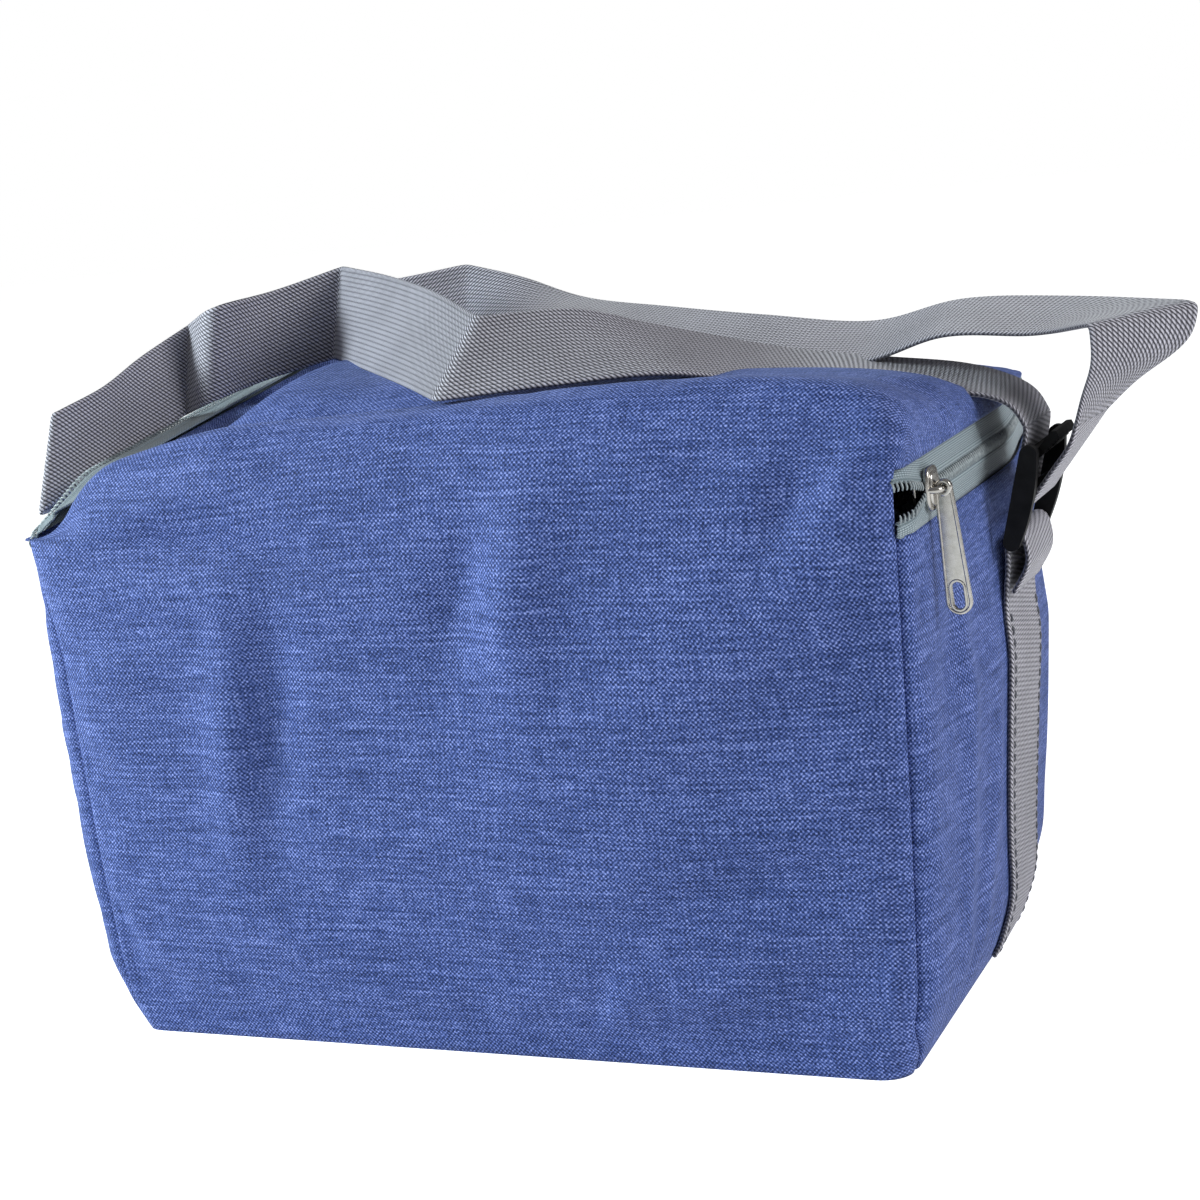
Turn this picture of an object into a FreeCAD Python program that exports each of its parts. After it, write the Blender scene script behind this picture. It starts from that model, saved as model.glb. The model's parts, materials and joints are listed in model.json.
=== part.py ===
import FreeCAD, Part
import math
import os

# Soft insulated lunch bag.  Units are millimetres.
# X runs across the width, -Y is the hinge side of the lid, +Y is the side
# that opens, +Z is up.  The origin is the centre of the base.

V = FreeCAD.Vector

# ---- driving dimensions -------------------------------------------------
BAG_WIDTH = 270.0          # across X at the zip
BAG_DEPTH = 180.0          # along Y at the zip
ZIP_HEIGHT = 153.0         # centre line of the zip above the base
BASE_TAPER_X = 12.0        # how far each side panel pulls in at the base
BASE_TAPER_Y = 2.0         # the same for the two large panels
CORNER_RADIUS = 9.0        # plan radius of the vertical corners
SIDE_BOWS = [(1.1, 2.0), (50.0, 9.0), (100.0, 9.0), (144.4, 0.0)]   # height, side panel bulge
END_BOW_SHARE = 0.3        # bulge of the large panels as a share of the side bulge

FABRIC = 1.0               # outer fabric
FOAM = 4.0                 # closed cell foam
LINER = 0.8                # wipe clean liner
GAP = 0.1                  # free space between neighbouring layers

RIDGE_HEIGHT = 184.0       # lid height along the hinge side
LID_SLOPE_DROP = 9.0       # how far the lid falls from the ridge to the far shoulder
LID_CROWN = 1.5            # extra height at the middle of the lid
SIDE_SHOULDER = 24.0       # roll-over radius at the lid's sides
FAR_SHOULDER = 14.0        # roll-over radius at the lid's far side
RIDGE_RADIUS = 7.0         # roll-over radius at the lid's ridge

TAPE = 0.6                 # zip tape thickness
TAPE_BAND = 8.5            # zip centre line to the tape's sewn edge
COIL_INNER = 0.6           # zip centre line to the coil
COIL_HEIGHT = 1.5
COIL_PROUD = 0.3           # coil stands this far outside the tape
COIL_DEPTH = 1.6

WEBBING_WIDTH = 30.0
WEBBING = 1.5              # webbing thickness
WEBBING_FOOT_Z = 2.0       # the side webbings start this far above the base
LOOP_FOOT_Z = 104.0        # the right webbing's end is sewn down again here
LOOP_SPLIT_Z = 112.0       # above this it stands free of the panel
LEFT_WEBBING_LIFT = 4.5    # the left webbing leans out this far to clear the zip

# ---- derived ------------------------------------------------------------
HALF_X = BAG_WIDTH / 2.0
HALF_Y = BAG_DEPTH / 2.0
WALL_TOP = ZIP_HEIGHT - TAPE_BAND - GAP
LID_EDGE = ZIP_HEIGHT + TAPE_BAND + GAP
FOAM_INSET = FABRIC + GAP
LINER_INSET = FOAM_INSET + FOAM + GAP
CAVITY_INSET = LINER_INSET + LINER
FLOOR_FOAM = FABRIC + GAP
FLOOR_LINER = FLOOR_FOAM + FOAM + GAP
INNER_TOP = WALL_TOP - 1.0
LID_FILL_EDGE = LID_EDGE + 0.5
FAR_AWAY = 400.0
SEAM_LINE = HALF_X - HALF_Y    # the zip's corner seams lie on |x| - |y| = SEAM_LINE
SEAM_GAP = 0.08

# ---- ladder lock and slider ---------------------------------------------
LOCK_BAR_X = 143.0
LOCK_BAR_Z = 128.0
LOCK_LEAN = 15.0           # degrees the lock leans away from the bag at rest
LOCK_BAR_R = 1.6
LOOP_R = LOCK_BAR_R + 0.08
RAIL_IN = 16.2             # inner and outer face of each side rail
RAIL_OUT = 19.0
RAIL_HALF = 2.4            # half the rail's width
RAIL_BOW = 1.2             # the rail's outer edge bows out this far
RAIL_TOP = 25.0            # rail length between its end arcs
THREAD_BAR_Z = 12.0        # threaded bar above the loop bar
THREAD_BAR_R = 1.7
TOP_BAR_Z = 24.0
TAB_HALF = 10.0            # half the width of the lifting tab
GRIP_R = 0.45              # radius of the ridges on the tab
GRIPS = 3

SLIDER_Y = -68.0
CROWN_X = 139.6            # crown bar, the pull's pivot
CROWN_R = 0.9
PULL_LENGTH = 33.0
PULL_LEAN = 3.0            # degrees the hanging pull leans away from the bag


def rounded_outline(half_x, half_y, radius, bow_x, bow_y, z):
    """Closed rounded rectangle wire at height z, its sides bulging by bow_x and bow_y."""
    ix = half_x - radius
    iy = half_y - radius
    k = radius * math.sqrt(0.5)
    edges = []

    def side(a, m, b, bow):
        if bow > 0.0:
            edges.append(Part.Arc(a, m, b).toShape())
        else:
            edges.append(Part.makeLine(a, b))

    side(V(-ix, -half_y, z), V(0, -half_y - bow_y, z), V(ix, -half_y, z), bow_y)
    edges.append(Part.Arc(V(ix, -half_y, z), V(ix + k, -iy - k, z), V(half_x, -iy, z)).toShape())
    side(V(half_x, -iy, z), V(half_x + bow_x, 0, z), V(half_x, iy, z), bow_x)
    edges.append(Part.Arc(V(half_x, iy, z), V(ix + k, iy + k, z), V(ix, half_y, z)).toShape())
    side(V(ix, half_y, z), V(0, half_y + bow_y, z), V(-ix, half_y, z), bow_y)
    edges.append(Part.Arc(V(-ix, half_y, z), V(-ix - k, iy + k, z), V(-half_x, iy, z)).toShape())
    side(V(-half_x, iy, z), V(-half_x - bow_x, 0, z), V(-half_x, -iy, z), bow_x)
    edges.append(Part.Arc(V(-half_x, -iy, z), V(-ix - k, -iy - k, z), V(-ix, -half_y, z)).toShape())
    return Part.Wire(edges)


def taper_at(z):
    """How far the side panels and the large panels are pulled in at height z."""
    share = 1.0 - min(z, WALL_TOP) / WALL_TOP
    return BASE_TAPER_X * share, BASE_TAPER_Y * share


def side_bow(z):
    """Side panel bulge at height z, straight between the listed heights."""
    if z <= SIDE_BOWS[0][0]:
        return SIDE_BOWS[0][1]
    for (z0, b0), (z1, b1) in zip(SIDE_BOWS, SIDE_BOWS[1:]):
        if z <= z1:
            return b0 + (b1 - b0) * (z - z0) / (z1 - z0)
    return 0.0


def wall_x(z):
    """Outer face of the side panel at the middle of the depth."""
    return HALF_X - taper_at(z)[0] + side_bow(z)


def body_section(inset, z):
    taper_x, taper_y = taper_at(z)
    bow = side_bow(z)
    return rounded_outline(HALF_X - taper_x - inset, HALF_Y - taper_y - inset,
                           CORNER_RADIUS - inset, bow, bow * END_BOW_SHARE, z)


def body_block(inset, z_low, z_high):
    """Solid tapered, bulging block of the bag's body between two heights."""
    heights = [z_low] + [z for z, _ in SIDE_BOWS if z_low < z < z_high] + [z_high]
    block = None
    for low, high in zip(heights, heights[1:]):
        piece = Part.makeLoft([body_section(inset, low), body_section(inset, high)], True, True)
        block = piece if block is None else block.fuse(piece)
    return block.removeSplitter()


def body_ring(inset, thickness, z_low, z_high):
    outer = body_block(inset, z_low, z_high)
    inner = body_block(inset + thickness, z_low, z_high)
    return outer.cut(inner)


def straight_ring(inset, thickness, z_low, z_high):
    """Upright wall of constant outline, used in the zip band."""
    rings = []
    for depth in (inset, inset + thickness):
        wire = rounded_outline(HALF_X - depth, HALF_Y - depth, CORNER_RADIUS - depth, 0, 0, z_low)
        rings.append(Part.Face(wire).extrude(V(0, 0, z_high - z_low)))
    return rings[0].cut(rings[1])


def polygon(points, z):
    corners = [V(x, y, z) for x, y in points]
    return Part.makePolygon(corners + corners[:1])


def wedge(outline):
    """Region bounded by the corner seams. outline(edge) gives its corners when the seams
    lie on |x| - |y| = edge; edge shrinks towards the base because of the taper."""
    base_edge = SEAM_LINE - BASE_TAPER_X + BASE_TAPER_Y
    lower = Part.makeLoft([polygon(outline(base_edge), 0.0), polygon(outline(SEAM_LINE), WALL_TOP)],
                          True, True)
    upper = Part.Face(polygon(outline(SEAM_LINE), WALL_TOP)).extrude(V(0, 0, FAR_AWAY))
    return lower.fuse(upper).removeSplitter()


def end_wedge(sign, gap=SEAM_GAP):
    """Everything nearer to the -Y (sign -1) or +Y (sign 1) panel than to a side panel."""
    def outline(edge):
        near = edge - gap
        far = near + FAR_AWAY
        return [(-near, 0), (near, 0), (far, sign * FAR_AWAY), (-far, sign * FAR_AWAY)]
    return wedge(outline)


def side_wedge(sign, gap=SEAM_GAP):
    def outline(edge):
        near = edge + gap
        far = near + FAR_AWAY
        return [(sign * near, 0), (sign * far, -FAR_AWAY), (sign * far, FAR_AWAY)]
    return wedge(outline)


def slab_above(z):
    return Part.makeBox(2 * FAR_AWAY, 2 * FAR_AWAY, FAR_AWAY, V(-FAR_AWAY, -FAR_AWAY, z))


def extrude_xz(points, half_width):
    """Solid from a closed outline in the XZ plane, centred on Y = 0."""
    corners = [V(x, -half_width, z) for x, z in points]
    return Part.Face(Part.makePolygon(corners + corners[:1])).extrude(V(0, 2 * half_width, 0))


def y_cylinder(x, z, radius, half_length, y=0.0):
    return Part.makeCylinder(radius, 2 * half_length, V(x, y - half_length, z), V(0, 1, 0))


# ---- the bag ------------------------------------------------------------
def base_panel():
    return Part.Face(body_section(0.0, 0.0)).extrude(V(0, 0, FABRIC))


def wall_panels():
    walls = body_ring(0.0, FABRIC, FABRIC + GAP, WALL_TOP)
    hinge_strip = straight_ring(0.0, FABRIC, WALL_TOP, ZIP_HEIGHT - GAP)
    rear = walls.fuse(hinge_strip).common(end_wedge(-1)).removeSplitter()
    return {
        "rear_panel": rear,
        "front_panel": walls.common(end_wedge(1)),
        "left_side_panel": walls.common(side_wedge(-1)),
        "right_side_panel": walls.common(side_wedge(1)),
    }


def foam_panels():
    floor = body_block(FOAM_INSET + GAP, FLOOR_FOAM, FLOOR_FOAM + FOAM - GAP)
    walls = body_ring(FOAM_INSET, FOAM, FLOOR_LINER, INNER_TOP)
    return {
        "foam_base": floor,
        "foam_rear": walls.common(end_wedge(-1)),
        "foam_front": walls.common(end_wedge(1)),
        "foam_left": walls.common(side_wedge(-1)),
        "foam_right": walls.common(side_wedge(1)),
    }


def liner_tub():
    outer = body_block(LINER_INSET, FLOOR_LINER, INNER_TOP)
    inner = body_block(CAVITY_INSET, FLOOR_LINER + LINER, INNER_TOP)
    return outer.cut(inner)


def not_rear(shape):
    """The part of a zip band that runs round the two sides and the far side."""
    return shape.cut(end_wedge(-1, -SEAM_GAP))


def zip_band(low, high, inset, thickness):
    return not_rear(straight_ring(inset, thickness, low, high))


def zip_parts():
    coil_out = COIL_INNER + COIL_HEIGHT
    tape_in = coil_out + GAP
    return {
        "zip_tape_lower": zip_band(ZIP_HEIGHT - TAPE_BAND, ZIP_HEIGHT - tape_in, 0.0, TAPE),
        "zip_coil_lower": zip_band(ZIP_HEIGHT - coil_out, ZIP_HEIGHT - COIL_INNER, -COIL_PROUD, COIL_DEPTH),
        "zip_tape_upper": zip_band(ZIP_HEIGHT + tape_in, ZIP_HEIGHT + TAPE_BAND, 0.0, TAPE),
        "zip_coil_upper": zip_band(ZIP_HEIGHT + COIL_INNER, ZIP_HEIGHT + coil_out, -COIL_PROUD, COIL_DEPTH),
    }


# ---- the lid ------------------------------------------------------------
def quarter_arc(start, middle, end):
    return Part.Arc(V(*start), V(*middle), V(*end)).toShape()


def lid_block(inset):
    """Solid under the lid's surface moved inwards by inset, from the hinge line up."""
    low = ZIP_HEIGHT + GAP
    c45 = math.sqrt(0.5)

    hx = HALF_X - inset
    r = SIDE_SHOULDER - inset
    top = RIDGE_HEIGHT - inset
    spring = top - r
    y0 = -FAR_AWAY / 2
    across = Part.Wire([
        Part.makeLine(V(-hx, y0, low), V(hx, y0, low)),
        Part.makeLine(V(hx, y0, low), V(hx, y0, spring)),
        quarter_arc((hx, y0, spring), (hx - r + r * c45, y0, spring + r * c45), (hx - r, y0, top)),
        quarter_arc((hx - r, y0, top), (0, y0, top + LID_CROWN), (-hx + r, y0, top)),
        quarter_arc((-hx + r, y0, top), (-hx + r - r * c45, y0, spring + r * c45), (-hx, y0, spring)),
        Part.makeLine(V(-hx, y0, spring), V(-hx, y0, low)),
    ])

    hy = HALF_Y - inset
    near_r = RIDGE_RADIUS - inset
    far_r = FAR_SHOULDER - inset
    ridge = RIDGE_HEIGHT + LID_CROWN - inset
    far_top = ridge - LID_SLOPE_DROP
    x0 = -FAR_AWAY / 2
    along = Part.Wire([
        Part.makeLine(V(x0, -hy, low), V(x0, -hy, ridge - near_r)),
        quarter_arc((x0, -hy, ridge - near_r),
                    (x0, -hy + near_r - near_r * c45, ridge - near_r + near_r * c45),
                    (x0, -hy + near_r, ridge)),
        Part.makeLine(V(x0, -hy + near_r, ridge), V(x0, hy - far_r, far_top)),
        quarter_arc((x0, hy - far_r, far_top),
                    (x0, hy - far_r + far_r * c45, far_top - far_r + far_r * c45),
                    (x0, hy, far_top - far_r)),
        Part.makeLine(V(x0, hy, far_top - far_r), V(x0, hy, low)),
        Part.makeLine(V(x0, hy, low), V(x0, -hy, low)),
    ])

    plan = Part.Face(rounded_outline(hx, hy, CORNER_RADIUS - inset, 0, 0, low))
    block = Part.Face(across).extrude(V(0, FAR_AWAY, 0))
    block = block.common(Part.Face(along).extrude(V(FAR_AWAY, 0, 0)))
    return block.common(plan.extrude(V(0, 0, FAR_AWAY)))


def lid_parts():
    skin = lid_block(0.0).cut(lid_block(FABRIC))
    hinge_wall = skin.common(end_wedge(-1)).cut(slab_above(LID_EDGE + 1.0))
    top = skin.common(slab_above(LID_EDGE))
    foam = lid_block(FOAM_INSET).cut(lid_block(FOAM_INSET + FOAM))
    liner = lid_block(LINER_INSET).cut(lid_block(CAVITY_INSET))
    return {
        "lid_panel": top.fuse(hinge_wall).removeSplitter(),
        "foam_lid": foam.common(slab_above(LID_FILL_EDGE)),
        "liner_lid": liner.common(slab_above(LID_FILL_EDGE)),
    }


# ---- webbing ------------------------------------------------------------
def side_band(z_low, z_high):
    """Outline of webbing lying on the side panel, as inner and outer point lists."""
    heights = [z_low] + [z for z, _ in SIDE_BOWS if z_low < z < z_high] + [z_high]
    inner = [(wall_x(z) + 2 * GAP, z) for z in heights]
    outer = [(x + WEBBING, z) for x, z in inner]
    return inner, outer


def side_webbing_right():
    """Band sewn up the right side; its top is a loop round the ladder lock's lower bar."""
    overlap = 1.0
    inner, outer = side_band(WEBBING_FOOT_Z, LOOP_SPLIT_Z)
    band = extrude_xz(inner + outer[::-1], WEBBING_WIDTH / 2)
    loop_out = LOOP_R + WEBBING
    x, z = LOCK_BAR_X, LOCK_BAR_Z
    wall = inner[-1][0]
    rise = extrude_xz([(wall, LOOP_SPLIT_Z - overlap), (wall + WEBBING, LOOP_SPLIT_Z - overlap),
                       (x - LOOP_R, z), (x - loop_out, z)], WEBBING_WIDTH / 2)
    outside = wall_x(LOOP_FOOT_Z) + WEBBING
    back = extrude_xz([(outside, LOOP_FOOT_Z), (outside + WEBBING, LOOP_FOOT_Z),
                       (x + loop_out, z), (x + LOOP_R, z)], WEBBING_WIDTH / 2)
    ring = y_cylinder(x, z, loop_out, WEBBING_WIDTH / 2)
    bore = y_cylinder(x, z, LOOP_R, WEBBING_WIDTH)
    return band.fuse([rise, back, ring]).cut(bore).removeSplitter()


def side_webbing_left():
    """Band sewn up the left side; it rises past the zip to meet the shoulder strap."""
    straight_top = WALL_TOP - 4.0
    inner, outer = side_band(WEBBING_FOOT_Z, straight_top)
    top = ZIP_HEIGHT - 0.5
    inner = inner + [(inner[-1][0] + LEFT_WEBBING_LIFT, top)]
    outer = outer + [(outer[-1][0] + LEFT_WEBBING_LIFT, top)]
    mirrored = [(-x, z) for x, z in inner + outer[::-1]]
    return extrude_xz(mirrored, WEBBING_WIDTH / 2)


def ribbon(sections, thickness):
    """Webbing through a list of (edge point, other edge point) sections."""
    count = len(sections)
    edges_a = [V(*a) for a, _ in sections]
    edges_b = [V(*b) for _, b in sections]
    rails = [[], [], [], []]
    for i in range(count):
        before = max(i - 1, 0)
        after = min(i + 1, count - 1)
        run = (edges_a[after] + edges_b[after]) - (edges_a[before] + edges_b[before])
        across = edges_b[i] - edges_a[i]
        normal = run.cross(across)
        normal.normalize()
        shift = normal * (thickness / 2)
        rails[0].append(edges_a[i] - shift)
        rails[1].append(edges_b[i] - shift)
        rails[2].append(edges_b[i] + shift)
        rails[3].append(edges_a[i] + shift)
    faces = []
    for i in range(count - 1):
        for k in range(4):
            here = rails[k]
            beside = rails[(k + 1) % 4]
            faces.append(Part.makeRuledSurface(Part.makeLine(here[i], here[i + 1]),
                                               Part.makeLine(beside[i], beside[i + 1])))
    for end in (0, -1):
        loop = [points[end] for points in rails]
        faces.append(Part.Face(Part.makePolygon(loop + loop[:1])))
    shell = Part.makeShell(faces)
    shell.sewShape()
    solid = Part.makeSolid(Part.Shell(shell.Faces))
    if solid.Volume < 0:
        solid.reverse()
    return solid


def shoulder_strap():
    """The strap from the left side over the lid to the top of the ladder lock."""
    return ribbon([
        ((-141, -15, 156), (-141, 15, 156)),
        ((-147, -27, 158), (-146, -8, 180)),
        ((-153, -42, 158), (-146, -37, 187)),
        ((-150, -62, 159), (-140, -60, 187)),
        ((-143, -42, 164), (-135, -38, 192)),
        ((-140, -20, 170), (-134, -17, 199)),
        ((-134, 3, 178), (-131, 9, 207)),
        ((-116, 22, 186), (-111, 27, 215)),
        ((-95, 38, 190), (-90, 41, 219)),
        ((-60, -3, 188), (-54, 8, 216)),
        ((-24, -45, 187), (-17, -31, 212)),
        ((4, -76, 187), (11, -56, 208)),
        ((34, -63, 186), (31, -40, 205)),
        ((62, -47, 185), (52, -22, 198)),
        ((84, -28, 184), (77, 0, 189)),
        ((102, -17, 185), (100, 13, 185)),
        ((124, -15, 184), (124, 15, 184)),
        ((140, -15, 175), (140, 15, 176)),
        ((147, -15, 159), (147, 15, 159)),
    ], WEBBING)


def strap_tail():
    """The strap's free length, from the ladder lock back across the lid."""
    return ribbon([
        ((160, -15, 158), (161, 15, 158)),
        ((163, -14, 167), (173, 14, 168)),
        ((168, -13, 177), (190, 8, 179)),
        ((166, -12, 187), (190, 9, 190)),
        ((148, -8, 190), (154, 21, 194)),
        ((124, -3, 190), (122, 26, 195)),
        ((96, 8, 190), (93, 36, 193)),
        ((60, 17, 188), (57, 44, 194)),
        ((20, 29, 187), (18, 57, 197)),
        ((-13, 39, 194), (-14, 68, 200)),
        ((-36, 49, 187), (-38, 69, 209)),
        ((-58, 61, 184), (-60, 71, 212)),
        ((-80, 56, 183), (-82, 61, 212)),
        ((-103, 60, 182), (-105, 63, 210)),
    ], WEBBING)


# ---- ladder lock --------------------------------------------------------
def lean(shape):
    """Turn a ladder lock piece from its upright pose at the origin to its place."""
    placed = shape.copy()
    placed.rotate(V(0, 0, 0), V(0, 1, 0), LOCK_LEAN)
    placed.translate(V(LOCK_BAR_X, 0, LOCK_BAR_Z))
    return placed


def rail_plate(y_low, y_high):
    """One side rail: a flat bar with round ends and a bowed outer edge."""
    top = RAIL_TOP
    half = RAIL_HALF
    wire = Part.Wire([
        quarter_arc((-half, y_low, 0), (0, y_low, -half), (half, y_low, 0)),
        quarter_arc((half, y_low, 0), (half + RAIL_BOW, y_low, top / 2), (half, y_low, top)),
        quarter_arc((half, y_low, top), (0, y_low, top + half), (-half, y_low, top)),
        Part.makeLine(V(-half, y_low, top), V(-half, y_low, 0)),
    ])
    return Part.Face(wire).extrude(V(0, y_high - y_low, 0))


def ladder_lock():
    rails = [rail_plate(-RAIL_OUT, -RAIL_IN), rail_plate(RAIL_IN, RAIL_OUT)]
    half = RAIL_IN + 0.5
    bars = [
        y_cylinder(0, 0, LOCK_BAR_R, half),
        y_cylinder(0, THREAD_BAR_Z, THREAD_BAR_R, half),
        y_cylinder(0, TOP_BAR_Z, THREAD_BAR_R, half),
    ]
    root_x, root_z = 1.2, TOP_BAR_Z - 1.5
    tip_x, tip_z = 5.8, TOP_BAR_Z + 5.5
    tab = extrude_xz([(-0.5, TOP_BAR_Z - 1.0), (root_x, root_z), (tip_x, tip_z),
                      (tip_x - 1.2, tip_z + 1.5), (tip_x - 2.6, tip_z + 1.1)], TAB_HALF)
    grips = []
    for i in range(GRIPS):
        share = 0.45 + 0.22 * i
        x = root_x + (tip_x - root_x) * share
        z = root_z + (tip_z - root_z) * share
        grips.append(y_cylinder(x, z, GRIP_R, TAB_HALF - 1.0))
    return lean(rails[0].fuse([rails[1]] + bars + [tab] + grips).removeSplitter())


def strap_in_buckle():
    """The turn of strap round the threaded bar, with its two short legs."""
    inner_r = THREAD_BAR_R + GAP
    outer_r = inner_r + WEBBING
    half = WEBBING_WIDTH / 2
    z = THREAD_BAR_Z
    leg_top = TOP_BAR_Z + 4.3
    turn = y_cylinder(0, z, outer_r, half).cut(y_cylinder(0, z, inner_r, half + 1.0))
    turn = turn.cut(Part.makeBox(4 * outer_r, 4 * half, 4 * outer_r, V(-2 * outer_r, -2 * half, z)))
    inside = extrude_xz([(-outer_r, z), (-inner_r, z), (-inner_r, leg_top), (-outer_r, leg_top)], half)
    outward = 7.0
    outside = extrude_xz([(inner_r, z), (outer_r, z), (outer_r + outward, leg_top),
                          (inner_r + outward, leg_top)], half)
    return lean(turn.fuse([inside, outside]).removeSplitter())


# ---- zip slider and pull ------------------------------------------------
PLATE = 1.3                # slider plate thickness
PLATE_HALF_Y = 6.0
PLATE_HALF_Z = 4.8
WEB_LENGTH = 3.0           # the wedge that joins the two plates
CROWN_REACH = 3.6          # half the crown bar's free length
POST = 1.4                 # thickness of the crown's posts
PULL_THICK = 1.2
PULL_HEAD_R = 2.2
PULL_HALF_TOP = 2.7
PULL_HALF_LOW = 3.8
PULL_NECK = -6.5           # the pull widens evenly below here
SLOT_R = 1.6               # the oval hole
SLOT_LENGTH = 4.5


def slider_plate(x_low, x_high):
    """Rounded plate lying along the zip, flat faces across X."""
    plate = Part.makeBox(x_high - x_low, 2 * PLATE_HALF_Y, 2 * PLATE_HALF_Z,
                         V(x_low, SLIDER_Y - PLATE_HALF_Y, ZIP_HEIGHT - PLATE_HALF_Z))
    upright = [e for e in plate.Edges if abs(e.tangentAt(e.FirstParameter).x) > 0.9]
    return plate.makeFillet(PLATE_HALF_Z * 0.75, upright)


def zip_slider():
    outer_face = HALF_X + COIL_PROUD + 2 * GAP
    inner_face = HALF_X + COIL_PROUD - COIL_DEPTH - 2 * GAP
    outer = slider_plate(outer_face, outer_face + PLATE)
    inner = slider_plate(inner_face - PLATE, inner_face)
    web_half = COIL_INNER - GAP
    web = Part.makeBox(outer_face - inner_face, WEB_LENGTH, 2 * web_half,
                       V(inner_face, SLIDER_Y - PLATE_HALF_Y + 0.5, ZIP_HEIGHT - web_half))
    bar = y_cylinder(CROWN_X, ZIP_HEIGHT, CROWN_R, CROWN_REACH, SLIDER_Y)
    post_half = CROWN_R + 0.5
    posts = []
    for sign in (-1, 1):
        y = SLIDER_Y + sign * (CROWN_REACH + 0.3)
        posts.append(Part.makeBox(CROWN_X + CROWN_R - outer_face, POST, 2 * post_half,
                                  V(outer_face, y - POST / 2, ZIP_HEIGHT - post_half)))
    return outer.fuse([inner, web, bar] + posts).removeSplitter()


def pull_tab():
    """Long flat pull hanging from the crown bar, with an oval hole near its tip."""
    low = -PULL_LENGTH + PULL_HALF_LOW
    y = -PULL_THICK / 2
    plate = Part.Wire([
        quarter_arc((-PULL_HEAD_R, y, 0), (0, y, PULL_HEAD_R), (PULL_HEAD_R, y, 0)),
        Part.makeLine(V(PULL_HEAD_R, y, 0), V(PULL_HALF_TOP, y, PULL_NECK)),
        Part.makeLine(V(PULL_HALF_TOP, y, PULL_NECK), V(PULL_HALF_LOW, y, low)),
        quarter_arc((PULL_HALF_LOW, y, low), (0, y, low - PULL_HALF_LOW), (-PULL_HALF_LOW, y, low)),
        Part.makeLine(V(-PULL_HALF_LOW, y, low), V(-PULL_HALF_TOP, y, PULL_NECK)),
        Part.makeLine(V(-PULL_HALF_TOP, y, PULL_NECK), V(-PULL_HEAD_R, y, 0)),
    ])
    pull = Part.Face(plate).extrude(V(0, PULL_THICK, 0))
    eye = y_cylinder(0, 0, CROWN_R + 0.06, PULL_THICK)
    slot_low = low - 0.5
    slot_high = slot_low + SLOT_LENGTH
    slot = y_cylinder(0, slot_low, SLOT_R, PULL_THICK).fuse([
        y_cylinder(0, slot_high, SLOT_R, PULL_THICK),
        Part.makeBox(2 * SLOT_R, 2 * PULL_THICK, SLOT_LENGTH, V(-SLOT_R, -PULL_THICK, slot_low)),
    ])
    pull = pull.cut(eye).cut(slot)
    pull.rotate(V(0, 0, 0), V(0, 1, 0), -PULL_LEAN)
    pull.translate(V(CROWN_X, SLIDER_Y, ZIP_HEIGHT))
    return pull


def all_nodes():
    nodes = {"base_panel": base_panel(), "liner_tub": liner_tub()}
    nodes.update(wall_panels())
    nodes.update(foam_panels())
    nodes.update(zip_parts())
    nodes.update(lid_parts())
    nodes["side_webbing_left"] = side_webbing_left()
    nodes["side_webbing_right"] = side_webbing_right()
    nodes["shoulder_strap"] = shoulder_strap()
    nodes["strap_tail"] = strap_tail()
    nodes["ladder_lock"] = ladder_lock()
    nodes["strap_in_buckle"] = strap_in_buckle()
    nodes["zip_slider"] = zip_slider()
    nodes["pull_tab"] = pull_tab()
    return nodes


os.makedirs("parts", exist_ok=True)
for name, shape in all_nodes().items():
    shape.exportStep("parts/" + name + ".step")
    print(name, len(shape.Solids), shape.isValid(), round(shape.Volume))
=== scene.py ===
"""Visual model of a soft insulated lunch bag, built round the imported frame."""
import bpy
import json
import math
import numpy as np
from mathutils import Matrix, Vector


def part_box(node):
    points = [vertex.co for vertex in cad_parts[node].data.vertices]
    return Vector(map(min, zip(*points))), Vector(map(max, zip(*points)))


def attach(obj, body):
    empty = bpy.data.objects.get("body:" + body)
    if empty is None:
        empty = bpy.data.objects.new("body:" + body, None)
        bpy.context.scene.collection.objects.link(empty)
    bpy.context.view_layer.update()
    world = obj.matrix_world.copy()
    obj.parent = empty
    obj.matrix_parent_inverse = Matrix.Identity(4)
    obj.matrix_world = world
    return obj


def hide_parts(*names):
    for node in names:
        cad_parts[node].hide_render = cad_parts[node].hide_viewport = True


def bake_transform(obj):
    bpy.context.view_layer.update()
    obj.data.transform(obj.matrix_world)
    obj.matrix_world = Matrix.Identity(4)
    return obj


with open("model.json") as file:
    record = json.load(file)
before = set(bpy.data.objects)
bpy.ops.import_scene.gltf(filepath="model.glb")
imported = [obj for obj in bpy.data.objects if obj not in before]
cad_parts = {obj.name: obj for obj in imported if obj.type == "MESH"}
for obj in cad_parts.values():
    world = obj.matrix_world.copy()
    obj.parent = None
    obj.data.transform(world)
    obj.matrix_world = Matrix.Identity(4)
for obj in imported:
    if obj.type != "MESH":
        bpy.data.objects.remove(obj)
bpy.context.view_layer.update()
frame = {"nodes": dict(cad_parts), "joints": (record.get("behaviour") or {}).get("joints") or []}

MM = 0.001                      # lengths below are in millimetres until a mesh is made


# ---- sizes taken from the frame ------------------------------------------
def node_box(name):
    """Lowest and highest corner of a CAD node in mm."""
    low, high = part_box(name)
    return np.array(low) / MM, np.array(high) / MM


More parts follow.
